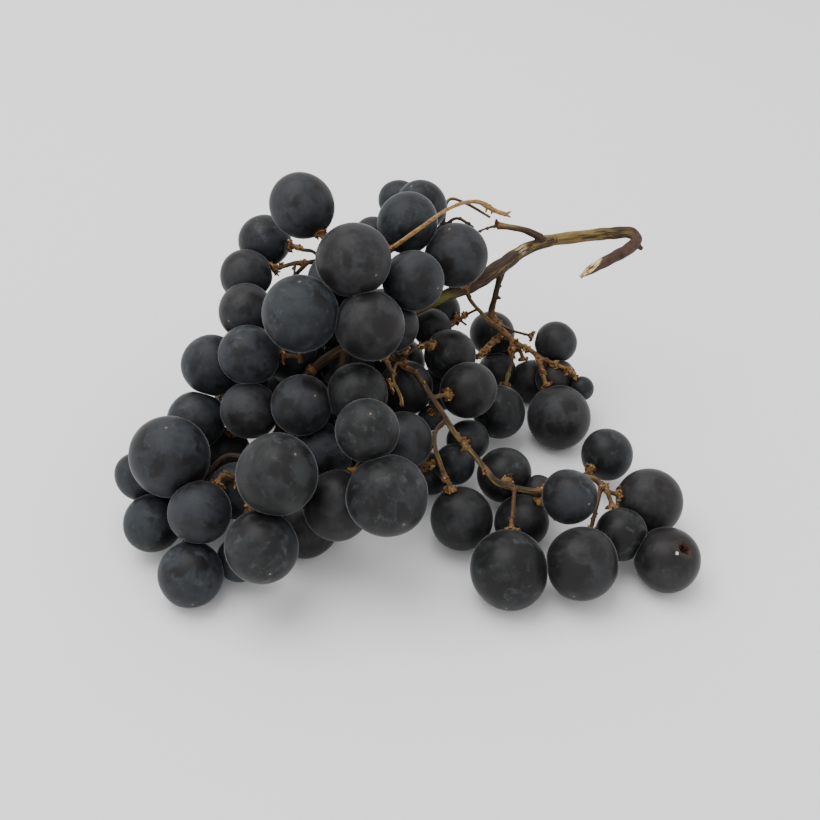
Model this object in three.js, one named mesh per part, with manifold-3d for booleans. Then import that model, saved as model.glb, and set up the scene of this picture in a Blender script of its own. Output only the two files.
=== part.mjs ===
// A bunch of dark table grapes, lying as it was picked: the woody stalk with its branches and
// berry stems, the dried tendril, and the berries in the knots in which they grew.
// Millimetres. +X is right and +Y is back as the bunch is seen from its front, +Z is up.
import * as THREE from 'three';
import { mergeVertices } from 'three/addons/utils/BufferGeometryUtils.js';
import Module from 'manifold-3d';

const wasm = await Module();
wasm.setup();

// Driving dimensions of the berries
const berrySides = 11;
const berryRings = 6;
const smallBerrySides = 10;
const smallBerryRings = 5;
const smallBerryRadius = 9.1;
const hiddenKnots = ['inner', 'back'];
const dimpleDepth = 0.07; // share of the radius by which the stem end of a berry is drawn in
const berrySwell = 1.01; // lets a faceted berry hold about what a round one holds
const clearance = 0.45; // air between a berry and any stem
const tableSlabSize = 400;
const weldDistance = 1e-4; // corners nearer than this are one corner

// Driving dimensions of the stalk
const pedicelRadius = 0.8;
const pedicelSides = 4;
const receptacleRadius = 2.3; // the flared end that holds a berry
const receptacleLength = 2.0;
const receptacleLeast = 0.4; // share of the full width that a receptacle keeps in a narrow place
const fullReceptacleBerry = 9; // berries of this radius or more have a receptacle of full width
const branchSides = 4;
const rachisSides = 7;
const wingSides = 5;
const twigSides = 3;
const attachStep = 2.5; // spacing of the places on a branch where a berry stem may start
const wartSize = 1.15;
const wartReach = 1.7; // how far a wart may stand out from its branch
const wartSeed = 41;
const wartyBranches = ['wing', 'rightRunner'];
const cutAngle = 24; // degrees between the cut face and the peduncle
const cutFacing = new THREE.Vector3(-0.35, -0.12, 0.93);
const cutBack = 5.9; // from the first point of the peduncle to the middle of the cut
const cutBlockSize = 14;
const pithRadius = 0.8;
const pithDepth = 1.2;
const pithSides = 6;
const pithTaper = 0.6;

// Berries of each branch: [x, y, z of the centre, radius]
const berryKnots = {
  loneShoulder: [[-36, 44, 87, 11]],
  shoulder: [[-51.5, 58, 64.5, 9.3], [-57, 43, 60, 9], [-55.5, 27, 56, 9.5], [-59, 49, 46, 7.5]],
  crown: [[-35, 6, 70, 12.5], [-18, 17, 83, 12], [-13, 5, 66, 11.5], [-25, 28, 68, 9], [-6, 19, 56, 9],
    [1, 23, 71, 10]],
  top: [[-4, 77, 70, 7.5], [4, 65, 75, 9], [-1, 48, 78, 10.5], [-13, 54, 69, 7], [16, 43, 68, 11]],
  upperLeft: [[-53, 8, 52, 10], [-67, 15, 42, 10.5], [-72.5, 3, 28, 10], [-53, -2.5, 37, 9.5],
    [-60, 24, 26, 10], [-65, 4.5, 11, 9.5]],
  leftTip: [[-77, -22, 34, 13], [-89, -16, 20, 8.5], [-84, -30, 12, 9.5], [-66, -38, 25, 10],
    [-69, -50, 9.5, 10.5], [-73.5, -13.5, 11, 10], [-57, -20.5, 17.5, 9.5], [-54.5, -43, 9, 7.5]],
  frontLeft: [[-40, -41, 44, 12.5], [-45, -54, 26, 11.5]],
  front: [[-34, -29, 10, 11], [-23, -36, 26, 11], [-7, -44, 38, 12.5], [-13, -31, 53, 10]],
  middle: [[-35, -7, 43, 10], [-17, -5, 46, 10], [-29, -12, 26.5, 10]],
  lowMiddle: [[-2, -13, 33, 9.5], [-11, -7.5, 19.5, 9.5], [-14, 3, 8, 8]],
  heart: [[8, 42, 38, 7], [14, 29, 36, 9.2], [11, 54, 37, 7.5], [20, 12, 34, 9.8], [12, 31, 20, 8.5]],
  inner: [[-1.5, 14, 33, 9.5], [7, 9, 24, 4.5], [-18, 13, 26, 10], [-36, 8, 22, 10.5], [-36, 22, 9, 9.5],
    [-14, 22, 10, 10]],
  back: [[-42.5, 25, 41, 10], [-41, 38, 28, 10.5], [-23, 40, 24, 10], [-49, 43, 10.2, 11],
    [-28, 52, 10.3, 11], [-4.5, 47, 18.5, 10], [-11, 56, 33, 10.5], [-28, 56, 41, 10],
    [-44, 58, 33, 9.5], [-19, 65, 54, 9.5], [-26, 40, 40, 8]],
  right: [[54, 25, 10.5, 11.5], [54, 51, 25, 8], [63, 36, 15, 4.5], [54, 42, 15, 7.5], [46, 50, 7.2, 8],
    [33, 51.5, 11.2, 7.2], [34, 63, 9, 6], [31, 61, 22, 8.5]],
  besideWing: [[15, -6, 16, 7], [7, -1, 7, 7.5], [20, 6, 16, 7.5]],
  wingMiddle: [[43, -15, 12, 5.5], [37, -26, 8.5, 9], [32, -9, 14, 9.5]],
  wingEnd: [[31, -50, 11.5, 12.5], [54, -49, 13, 11.5], [82, -44, 9.5, 10.5], [79, -22, 14, 11],
    [68, -36, 13, 8.5]],
  loneUnderPeduncle: [[32, 24, 14, 9.5]],
  loneFront: [[17, -27, 11, 10.5]],
  loneWing: [[51, -30, 24, 9]],
  loneWingTip: [[68, 1, 14, 9]],
};

// Branches of the stalk: the points that each passes through, and its radii from one end to the other
const branches = {
  peduncle: {
    sides: rachisSides, radii: [1.6, 1.7, 1.95, 2.1, 2.15, 2.1, 2.1, 2.15, 2.2, 2.25, 2.2, 2.1],
    points: [[58, 49, 55.7], [64, 52, 56.5], [68.5, 54.5, 57.6], [73.5, 58, 58.3], [77.5, 61, 58.5],
      [81.5, 65.5, 59], [82, 69, 59.5], [79.5, 70.3, 60.5], [73.5, 69, 61], [69, 68.5, 61],
      [58, 66, 61], [48, 63.5, 61]],
  },
  rachis: {
    sides: rachisSides,
    radii: [1.9, 2.2, 2.4, 2.75, 2.8, 2.6, 2.4, 2.2, 2.1, 2.1, 2.1, 2, 1.8, 1.6, 1.4, 1.3, 1.4],
    points: [[52, 64.5, 61], [43, 60.5, 60.5], [38, 57, 59.5], [33.5, 53, 58], [28.5, 49.5, 56.5],
      [24, 46.5, 55], [19.5, 44, 54], [14.5, 42.5, 53], [9, 40.5, 51.5], [0, 39, 47],
      [-10, 36, 43], [-22, 28, 40], [-34, 17, 38], [-40, 4, 33.5], [-48, -16, 28],
      [-55.5, -24.5, 27.5], [-60, -25.5, 29.5]],
  },
  sideBranch: {
    radii: [1.5, 1.2, 1.05, 1.4],
    points: [[47, 62, 63.5], [41, 61, 67], [35.5, 61.5, 68], [31, 62, 68.5]],
  },
  sideTwig: {
    sides: twigSides, radii: [0.6, 0.4, 0.4],
    points: [[31, 62, 68.5], [27.5, 59.5, 69], [24, 55.5, 70]],
  },
  wing: {
    sides: wingSides, radii: [1.5, 1.3, 1, 1.05, 1.05, 1, 0.95, 0.95, 1, 1.15, 1, 0.95, 0.95, 0.95, 1],
    points: [[-8, 35, 43], [-7, 21, 42], [-3, 13, 44], [2, 8, 44], [6, 2, 41], [11, -5, 37],
      [15, -10, 33], [20, -14, 29], [25, -20, 26], [28, -23, 24], [34, -24, 22], [43, -23, 20],
      [52, -16, 19], [60, -17, 20], [64, -24, 21]],
  },
  rightDrop: {
    radii: [1.5, 1.1, 1.05, 1.2, 1.4],
    points: [[33, 52, 57], [31.5, 50, 52], [30.5, 49, 47], [29.5, 49.5, 41], [29.5, 51, 36]],
  },
  rightRunner: {
    radii: [0.75, 0.7, 0.7, 0.7, 0.9, 1.1, 0.95, 0.9, 0.8, 0.8],
    points: [[20, 44, 54], [20.5, 43.5, 51], [22.5, 43.5, 47.5], [25, 44, 44], [29, 46.5, 37.5],
      [34, 47.5, 32.5], [39, 46.5, 28], [44, 45, 26], [47.5, 43, 24], [51, 42, 22.5]],
  },
  shoulderBranch: {
    radii: [1.5, 1.3, 1.2, 1.1, 0.8, 0.8, 0.7],
    points: [[-10, 36, 43], [-17, 37, 50], [-24, 42, 57], [-29.5, 45, 63.5], [-35.5, 45, 64],
      [-40, 46, 63], [-45, 45, 62]],
  },
  shoulderTwig: {
    sides: twigSides, radii: [0.8, 0.6, 0.7, 0.8],
    points: [[-29.5, 45, 63.5], [-33.5, 48.5, 66], [-37.5, 51.5, 65], [-39, 53, 65]],
  },
  topTwig: {
    radii: [1, 0.8, 0.9],
    points: [[-29.5, 45, 63.5], [-25, 37.5, 73], [-28, 29.5, 82.5]],
  },
  shortSpur: {
    sides: twigSides, radii: [0.6, 0.4],
    points: [[-40, 46, 63], [-39.5, 37, 64.5]],
  },
  lowShoulderBranch: {
    sides: twigSides, radii: [0.8, 0.7],
    points: [[-35.5, 45, 64], [-42, 42.5, 58], [-47, 41, 53]],
  },
  frontTopTwig: {
    radii: [1, 0.8, 0.7, 0.8],
    points: [[-24, 42, 57], [-33, 27, 55.5], [-36, 14.5, 50], [-36, 6, 50.5]],
  },
  frontBranch: {
    radii: [1.7, 1.1],
    points: [[-22, 28, 40], [-24, 12, 36], [-19, -6, 33], [-18, -17, 36], [-15, -26, 39]],
  },
  leftBranch: {
    radii: [1.2, 0.9],
    points: [[-41, 1, 32], [-52, 3, 25], [-60, 5, 27.5]],
  },
  lowLeftBranch: {
    radii: [1, 0.8],
    points: [[-50, -18, 28.5], [-60, -14, 27], [-67, -18, 22], [-73, -23, 18], [-78, -21, 19]],
  },
  leftFrontTwig: {
    radii: [1, 0.9],
    points: [[-46, -12, 29], [-45, -24, 32]],
  },
  lowTipTwig: {
    radii: [0.9, 0.9],
    points: [[-55.5, -24.5, 27.5], [-52, -33.5, 26], [-50.5, -36.5, 26]],
  },
  backBranch: {
    radii: [1.4, 0.9],
    points: [[-13, 35, 42], [-19, 48, 36], [-31, 50, 25], [-38, 52, 20]],
  },
  underBranch: {
    radii: [1.2, 0.9],
    points: [[-24, 26, 39], [-26, 26, 28], [-25, 25, 18]],
  },
  lowFrontBranch: {
    radii: [1.2, 0.9],
    points: [[-20, -4, 33], [-20, 0, 21], [-23, -4, 12], [-26, -14, 10]],
  },
  crownBranch: {
    radii: [1.3, 1],
    points: [[-10, 36, 43], [-15, 35, 52], [-15, 35, 62], [-13, 33, 69]],
  },
  middleDrop: {
    radii: [1.1, 0.9],
    points: [[-2, 38, 46], [-3, 34, 36], [0, 33, 27]],
  },
  middleTwig: {
    sides: twigSides, radii: [0.8, 0.55, 0.5, 0.6, 0.7],
    points: [[-3, 13, 44], [-4.5, 9.5, 47], [-5.5, 0.5, 48], [-3, -6.5, 46], [-2.5, -10, 45]],
  },
  frontDropTwig: {
    radii: [0.9, 0.75, 0.75, 0.8, 1],
    points: [[12, -6, 36], [8.5, -9, 33.5], [8, -13.5, 31.5], [10, -19, 27.5], [11.5, -22.5, 25]],
  },
  wingDrop: {
    sides: twigSides, radii: [0.8, 0.7],
    points: [[8, -11, 32], [5, -11, 23], [3, -8, 17]],
  },
  wingUnderTwig: {
    radii: [0.9, 0.8],
    points: [[43, -23, 20], [45, -26, 17], [47.5, -31, 14.5]],
  },
  tipTwig: {
    sides: twigSides, radii: [0.8, 0.8],
    points: [[54, -16, 19], [58, -10, 14]],
  },
  rightTwig: {
    sides: twigSides, radii: [0.8, 0.7],
    points: [[47.5, 43, 24], [52, 40.5, 23.5], [59.5, 37, 22]],
  },
  rightBackTwig: {
    sides: twigSides, radii: [0.7, 0.5, 0.5],
    points: [[29.5, 51, 36], [37, 53.5, 29], [44.2, 53.2, 26.7]],
  },
  rightFrontTwig: {
    radii: [0.9, 1],
    points: [[46, 44, 25], [47.5, 40, 23.5], [48.5, 35.5, 21.5]],
  },
  rightUnderTwig: {
    sides: twigSides, radii: [0.7, 0.6, 0.7],
    points: [[37, 47, 29.5], [37.5, 43, 24], [36, 38, 20.5]],
  },
  rustySpur: {
    radii: [1, 1.1, 1.2, 1.1],
    points: [[34, 48, 32], [31.5, 48, 28.5], [28.5, 44.5, 28], [25, 39, 27.5]],
  },
  rightLowTwig: {
    radii: [0.9, 0.8],
    points: [[34, 48, 32], [39, 51, 24], [41, 57, 18]],
  },
  heartTwig: {
    sides: twigSides, radii: [0.5, 0.45],
    points: [[24, 44, 45], [20, 46.5, 40.5], [18, 47, 38], [16, 46.5, 37.5]],
  },
  heartSpur: {
    sides: twigSides, radii: [0.45, 0.4],
    points: [[18, 47, 38], [20.5, 46, 36.5]],
  },
  tangle: {
    sides: twigSides, radii: [0.7, 0.55, 0.5, 0.5],
    points: [[-5, 17, 43], [-1.5, 17, 45], [3.5, 23, 44.5], [7, 27, 43.5]],
  },
  topBranch: {
    radii: [1.3, 0.8],
    points: [[9, 40.5, 51], [6, 52, 54], [7, 63, 60], [12, 71, 64]],
  },
  upperTwig: {
    sides: twigSides, radii: [0.65, 0.5],
    points: [[12, 70, 64], [14, 77, 70], [20, 75, 70], [29, 70, 67]],
  },
  lowerTwig: {
    sides: twigSides, radii: [0.65, 0.5],
    points: [[12, 70, 63], [17, 71, 66], [23, 68, 64]],
  },
};
const tendrilPoints = [[-4, 37, 51], [-7, 40, 62], [-8.5, 36, 71], [-8, 33, 75.5], [-3.5, 33, 79.5],
  [5, 37, 84], [10, 39, 87], [15, 44, 87], [19, 48, 86], [23, 50, 85], [26, 51, 83], [29, 51, 81],
  [33, 50, 80]];
const tendrilRadius = 0.8;
const tendrilTipRadius = 0.64;
const tendrilKnobSize = 1.5;
const tendrilKnobs = [10, 11]; // points of the tendril that a knob sits on

const colours = { berry: 0x2b3038, stalk: 0x4a3b26, tendril: 0x8a5a26 };

// Where the scar of the one berry that was pulled off its stem faces
const pulledScar = new THREE.Vector3(0.38, -0.33, 0.865);

const vector = (point) => new THREE.Vector3(point[0], point[1], point[2]);

// Repeatable draw of numbers from 0 to 1
function drawer(seed) {
  let state = seed;
  return () => {
    state = (state * 16807) % 2147483647;
    return state / 2147483647;
  };
}

// Booleans
function toSolid(geometry) {
  const bare = geometry.clone();
  bare.deleteAttribute('normal');
  bare.deleteAttribute('uv');
  const merged = mergeVertices(bare, weldDistance);
  const vertProperties = new Float32Array(merged.attributes.position.array);
  const triVerts = new Uint32Array(merged.index.array);
  return new wasm.Manifold(new wasm.Mesh({ numProp: 3, vertProperties, triVerts }));
}

function toGeometry(solid) {
  const mesh = solid.getMesh();
  const geometry = new THREE.BufferGeometry();
  geometry.setAttribute('position', new THREE.BufferAttribute(new Float32Array(mesh.vertProperties), 3));
  geometry.setIndex(new THREE.BufferAttribute(new Uint32Array(mesh.triVerts), 1));
  return geometry;
}

const fuse = (solids) => solids.reduce((whole, solid) => whole.add(solid));

// A closed limb swept through points, with a radius for each point
function limb(points, radii, sides) {
  const positions = [];
  const faces = [];
  const along = points.map((point, i) => {
    const before = points[Math.max(i - 1, 0)];
    const after = points[Math.min(i + 1, points.length - 1)];
    return after.clone().sub(before).normalize();
  });
  const start = Math.abs(along[0].z) > 0.9 ? new THREE.Vector3(1, 0, 0) : new THREE.Vector3(0, 0, 1);
  let across = start.cross(along[0]).normalize();
  points.forEach((point, i) => {
    across = across.clone().addScaledVector(along[i], -across.dot(along[i])).normalize();
    const up = along[i].clone().cross(across);
    for (let k = 0; k < sides; k += 1) {
      const turn = (2 * Math.PI * k) / sides;
      const corner = point.clone().addScaledVector(across, radii[i] * Math.cos(turn));
      corner.addScaledVector(up, radii[i] * Math.sin(turn));
      positions.push(corner.x, corner.y, corner.z);
    }
  });
  for (let i = 0; i + 1 < points.length; i += 1) {
    for (let k = 0; k < sides; k += 1) {
      const a = i * sides + k;
      const b = i * sides + ((k + 1) % sides);
      faces.push(a, b, b + sides, a, b + sides, a + sides);
    }
  }
  const last = (points.length - 1) * sides;
  for (let k = 1; k + 1 < sides; k += 1) {
    faces.push(0, k + 1, k, last, last + k, last + k + 1);
  }
  const geometry = new THREE.BufferGeometry();
  geometry.setAttribute('position', new THREE.Float32BufferAttribute(positions, 3));
  geometry.setIndex(faces);
  return geometry;
}

// Points along a smooth line through the given ones, with the radii spread evenly over it
function smoothRun(points, radii, perSpan) {
  const curve = new THREE.CatmullRomCurve3(points.map(vector), false, 'centripetal');
  const count = (points.length - 1) * perSpan;
  const run = curve.getPoints(count);
  const widths = run.map((point, i) => {
    const share = (i / count) * (radii.length - 1);
    const before = Math.min(Math.floor(share), radii.length - 2);
    return THREE.MathUtils.lerp(radii[before], radii[before + 1], share - before);
  });
  return { run, widths };
}

// Berries
const allBerries = Object.entries(berryKnots).flatMap(([knot, places]) => places.map((place) => ({
  knot,
  centre: vector(place),
  radius: place[3],
})));

function berrySolid(berry, growth) {
  const small = berry.radius < smallBerryRadius || hiddenKnots.includes(berry.knot);
  const sides = small ? smallBerrySides : berrySides;
  const rings = small ? smallBerryRings : berryRings;
  const geometry = new THREE.SphereGeometry(berry.radius * berrySwell + growth, sides, rings);
  const place = geometry.attributes.position;
  const poleHeight = berry.radius * berrySwell + growth - weldDistance;
  for (let i = 0; i < place.count; i += 1) {
    if (place.getY(i) > poleHeight) {
      place.setY(i, place.getY(i) - dimpleDepth * berry.radius);
    }
  }
  const turn = new THREE.Quaternion().setFromUnitVectors(new THREE.Vector3(0, 1, 0), berry.stemEnd);
  geometry.applyQuaternion(turn);
  geometry.translate(berry.centre.x, berry.centre.y, berry.centre.z);
  return toSolid(geometry);
}

// Stalk
const runs = Object.entries(branches).map(([name, branch]) => ({
  name,
  sides: branch.sides ?? branchSides,
  ...smoothRun(branch.points, branch.radii, name === 'peduncle' ? 2 : 1),
}));

function clearOfBerries(from, to, thickness, owner) {
  const line = new THREE.Line3(from, to);
  const nearest = new THREE.Vector3();
  return allBerries.every((berry) => {
    if (berry === owner) return true;
    line.closestPointToPoint(berry.centre, true, nearest);
    return nearest.distanceTo(berry.centre) > berry.radius * berrySwell + thickness + clearance;
  });
}

// A berry's stem starts at the nearest place on the stalk from which it runs clear of the others
function findStem(berry) {
  let best = null;
  runs.filter((run) => run.name !== 'peduncle').forEach((branch) => {
    for (let i = 0; i + 1 < branch.run.length; i += 1) {
      const span = branch.run[i].distanceTo(branch.run[i + 1]);
      const steps = Math.max(1, Math.round(span / attachStep));
      for (let k = 0; k <= steps; k += 1) {
        const root = branch.run[i].clone().lerp(branch.run[i + 1], k / steps);
        const outward = root.clone().sub(berry.centre);
        const length = outward.length() - berry.radius;
        const isShorter = best === null || length < best.length;
        if (length > receptacleLength && isShorter) {
          const end = berry.centre.clone().addScaledVector(outward.normalize(), berry.radius + clearance);
          if (clearOfBerries(root, end, pedicelRadius, berry)) {
            best = { root, end, length, outward };
          }
        }
      }
    }
  });
  return best;
}

// The receptacle is as wide as the berry's size and its neighbours allow
function receptacleScale(berry) {
  const room = Math.min(...allBerries.filter((other) => other !== berry).map((other) => (
    other.centre.distanceTo(berry.stem.end) - other.radius * berrySwell - clearance)));
  return Math.min(1, berry.radius / fullReceptacleBerry, Math.max(receptacleLeast, room / receptacleRadius));
}

function isNearBranch(berry) {
  const nearest = new THREE.Vector3();
  return runs.some((branch) => branch.run.slice(1).some((point, i) => {
    new THREE.Line3(branch.run[i], point).closestPointToPoint(berry.centre, true, nearest);
    return nearest.distanceTo(berry.centre) < berry.radius * berrySwell + branch.widths[i] + wartReach;
  }));
}

function pedicelSolid(stem) {
  const inward = stem.end.clone().sub(stem.root);
  const length = inward.length();
  inward.normalize();
  const neck = stem.end.clone().addScaledVector(inward, -Math.min(receptacleLength, length * 0.5));
  const geometry = limb([stem.root, neck, stem.end],
    [pedicelRadius, pedicelRadius, receptacleRadius * stem.scale], pedicelSides);
  return toSolid(geometry);
}

function wartSolids(draw) {
  const warts = [];
  runs.filter((branch) => wartyBranches.includes(branch.name)).forEach((branch) => {
    for (let i = 1; i + 1 < branch.run.length; i += 2) {
      const place = branch.run[i].clone().lerp(branch.run[i + 1], draw());
      const aside = new THREE.Vector3(draw() - 0.5, draw() - 0.5, draw() - 0.5);
      place.addScaledVector(aside.normalize(), branch.widths[i]);
      const wart = new THREE.OctahedronGeometry(wartSize * (0.8 + 0.5 * draw()), 0);
      wart.rotateX(draw() * 3);
      wart.rotateY(draw() * 3);
      wart.translate(place.x, place.y, place.z);
      warts.push(toSolid(wart));
    }
  });
  return warts;
}

// The peduncle was cut on a long slant, which leaves its pith open
function cutPeduncle(solid) {
  const tip = vector(branches.peduncle.points[0]);
  const along = vector(branches.peduncle.points[1]).sub(tip).normalize();
  const facing = cutFacing.clone().addScaledVector(along, -cutFacing.dot(along)).normalize();
  const angle = THREE.MathUtils.degToRad(cutAngle);
  const faceNormal = facing.clone().multiplyScalar(Math.cos(angle)).addScaledVector(along, -Math.sin(angle));
  const block = new THREE.BoxGeometry(cutBlockSize, cutBlockSize, cutBlockSize);
  block.applyQuaternion(new THREE.Quaternion().setFromUnitVectors(new THREE.Vector3(0, 0, 1), faceNormal));
  const cutStart = tip.clone().addScaledVector(along, cutBack);
  const middle = cutStart.clone().addScaledVector(faceNormal, cutBlockSize / 2);
  block.translate(middle.x, middle.y, middle.z);
  const pithEnds = [-cutBack / 2, pithDepth].map((step) => cutStart.clone().addScaledVector(along, step));
  const pith = limb(pithEnds, [pithRadius, pithRadius * pithTaper], pithSides);
  return solid.subtract(toSolid(block)).subtract(toSolid(pith));
}

function makeStalk() {
  const draw = drawer(wartSeed);
  const limbs = runs.map((branch) => {
    const solid = toSolid(limb(branch.run, branch.widths, branch.sides));
    return branch.name === 'peduncle' ? cutPeduncle(solid) : solid;
  });
  let wood = fuse([...limbs, ...wartSolids(draw)]);
  allBerries.filter(isNearBranch).forEach((berry) => {
    wood = wood.subtract(berrySolid(berry, clearance));
  });
  const pedicels = allBerries.filter((berry) => berry.stem).map((berry) => pedicelSolid(berry.stem));
  return fuse([wood, ...pedicels]);
}

function makeTendril() {
  const { run, widths } = smoothRun(tendrilPoints, [tendrilRadius, tendrilTipRadius], 1);
  const knobs = tendrilKnobs.map((i) => {
    const knob = new THREE.OctahedronGeometry(tendrilKnobSize, 0);
    knob.translate(run[i].x, run[i].y, run[i].z);
    return toSolid(knob);
  });
  return fuse([toSolid(limb(run, widths, branchSides)), ...knobs]);
}

function makeKnot(knot) {
  const solids = allBerries.filter((berry) => berry.knot === knot).map((berry) => berrySolid(berry, 0));
  const table = new THREE.BoxGeometry(tableSlabSize, tableSlabSize, tableSlabSize);
  table.translate(0, 0, -tableSlabSize / 2);
  return fuse(solids).subtract(toSolid(table));
}

allBerries.forEach((berry) => {
  berry.stem = findStem(berry);
  berry.stemEnd = berry.stem ? berry.stem.outward.clone().normalize() : pulledScar.clone().normalize();
  if (berry.stem) berry.stem.scale = receptacleScale(berry);
});

const group = new THREE.Group();
group.name = 'grape_bunch';

function addPiece(name, solid, colour, roughness) {
  const material = new THREE.MeshStandardMaterial({ color: colour, roughness });
  material.name = name;
  const mesh = new THREE.Mesh(toGeometry(solid), material);
  mesh.name = name;
  group.add(mesh);
}

addPiece('stalk', makeStalk(), colours.stalk, 0.8);
addPiece('dried_tendril', makeTendril(), colours.tendril, 0.7);
Object.keys(berryKnots).forEach((knot) => {
  const plainName = knot.replace(/[A-Z]/g, (letter) => `_${letter.toLowerCase()}`);
  addPiece(`berries_${plainName}`, makeKnot(knot), colours.berry, 0.45);
});

// Stand the middle of the bunch over the origin
const box = new THREE.Box3().setFromObject(group);
const middle = box.getCenter(new THREE.Vector3());
group.children.forEach((mesh) => mesh.geometry.translate(-middle.x, -middle.y, 0));

export default group;
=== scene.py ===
import math
import random

import bpy
import numpy as np
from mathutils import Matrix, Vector, kdtree


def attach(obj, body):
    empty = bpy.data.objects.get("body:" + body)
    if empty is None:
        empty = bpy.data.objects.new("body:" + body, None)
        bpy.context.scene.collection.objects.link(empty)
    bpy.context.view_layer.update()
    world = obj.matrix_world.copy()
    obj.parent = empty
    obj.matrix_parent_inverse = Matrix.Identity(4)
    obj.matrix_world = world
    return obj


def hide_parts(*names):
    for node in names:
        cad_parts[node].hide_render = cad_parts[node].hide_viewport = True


# A bunch of dark table grapes on a pale surface. Sizes are typed in millimetres and turned into metres.
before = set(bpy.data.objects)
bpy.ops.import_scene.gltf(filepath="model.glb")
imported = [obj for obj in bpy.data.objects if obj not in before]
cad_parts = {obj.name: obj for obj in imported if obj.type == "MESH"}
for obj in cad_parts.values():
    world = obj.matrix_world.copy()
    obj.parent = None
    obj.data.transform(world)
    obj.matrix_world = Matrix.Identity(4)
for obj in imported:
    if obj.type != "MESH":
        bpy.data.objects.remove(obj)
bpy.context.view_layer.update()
mm = 0.001
bunchMiddle = Vector((-2.56, 9.46, 0))  # where the middle of the bunch lies in the typed places

# Berries of each branch: x, y, z of the centre, radius
berryKnots = {
    "lone_shoulder": [(-36, 44, 87, 11)],
    "shoulder": [(-51.5, 58, 64.5, 9.3), (-57, 43, 60, 9), (-55.5, 27, 56, 9.5), (-59, 49, 46, 7.5)],
    "crown": [(-35, 6, 70, 12.5), (-18, 17, 83, 12), (-13, 5, 66, 11.5), (-25, 28, 68, 9),
              (-6, 19, 56, 9), (1, 23, 71, 10)],
    "top": [(-4, 77, 70, 7.5), (4, 65, 75, 9), (-1, 48, 78, 10.5), (-13, 54, 69, 7), (16, 43, 68, 11)],
    "upper_left": [(-53, 8, 52, 10), (-67, 15, 42, 10.5), (-72.5, 3, 28, 10), (-53, -2.5, 37, 9.5),
                   (-60, 24, 26, 10), (-65, 4.5, 11, 9.5)],
    "left_tip": [(-77, -22, 34, 13), (-89, -16, 20, 8.5), (-84, -30, 12, 9.5), (-66, -38, 25, 10),
                 (-69, -50, 9.5, 10.5), (-73.5, -13.5, 11, 10), (-57, -20.5, 17.5, 9.5),
                 (-54.5, -43, 9, 7.5)],
    "front_left": [(-40, -41, 44, 12.5), (-45, -54, 26, 11.5)],
    "front": [(-34, -29, 10, 11), (-23, -36, 26, 11), (-7, -44, 38, 12.5), (-13, -31, 53, 10)],
    "middle": [(-35, -7, 43, 10), (-17, -5, 46, 10), (-29, -12, 26.5, 10)],
    "low_middle": [(-2, -13, 33, 9.5), (-11, -7.5, 19.5, 9.5), (-14, 3, 8, 8)],
    "heart": [(8, 42, 38, 7), (14, 29, 36, 9.2), (11, 54, 37, 7.5), (20, 12, 34, 9.8),
              (12, 31, 20, 8.5)],
    "inner": [(-1.5, 14, 33, 9.5), (7, 9, 24, 4.5), (-18, 13, 26, 10), (-36, 8, 22, 10.5),
              (-36, 22, 9, 9.5), (-14, 22, 10, 10)],
    "back": [(-42.5, 25, 41, 10), (-41, 38, 28, 10.5), (-23, 40, 24, 10), (-49, 43, 10.2, 11),
             (-28, 52, 10.3, 11), (-4.5, 47, 18.5, 10), (-11, 56, 33, 10.5), (-28, 56, 41, 10),
             (-44, 58, 33, 9.5), (-19, 65, 54, 9.5), (-26, 40, 40, 8)],
    "right": [(54, 25, 10.5, 11.5), (54, 51, 25, 8), (63, 36, 15, 4.5), (54, 42, 15, 7.5),
              (46, 50, 7.2, 8), (33, 51.5, 11.2, 7.2), (34, 63, 9, 6), (31, 61, 22, 8.5)],
    "beside_wing": [(15, -6, 16, 7), (7, -1, 7, 7.5), (20, 6, 16, 7.5)],
    "wing_middle": [(43, -15, 12, 5.5), (37, -26, 8.5, 9), (32, -9, 14, 9.5)],
    "wing_end": [(31, -50, 11.5, 12.5), (54, -49, 13, 11.5), (82, -44, 9.5, 10.5), (79, -22, 14, 11),
                 (68, -36, 13, 8.5)],
    "lone_under_peduncle": [(32, 24, 14, 9.5)],
    "lone_front": [(17, -27, 11, 10.5)],
    "lone_wing": [(51, -30, 24, 9)],
    "lone_wing_tip": [(68, 1, 14, 9)],
}

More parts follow.
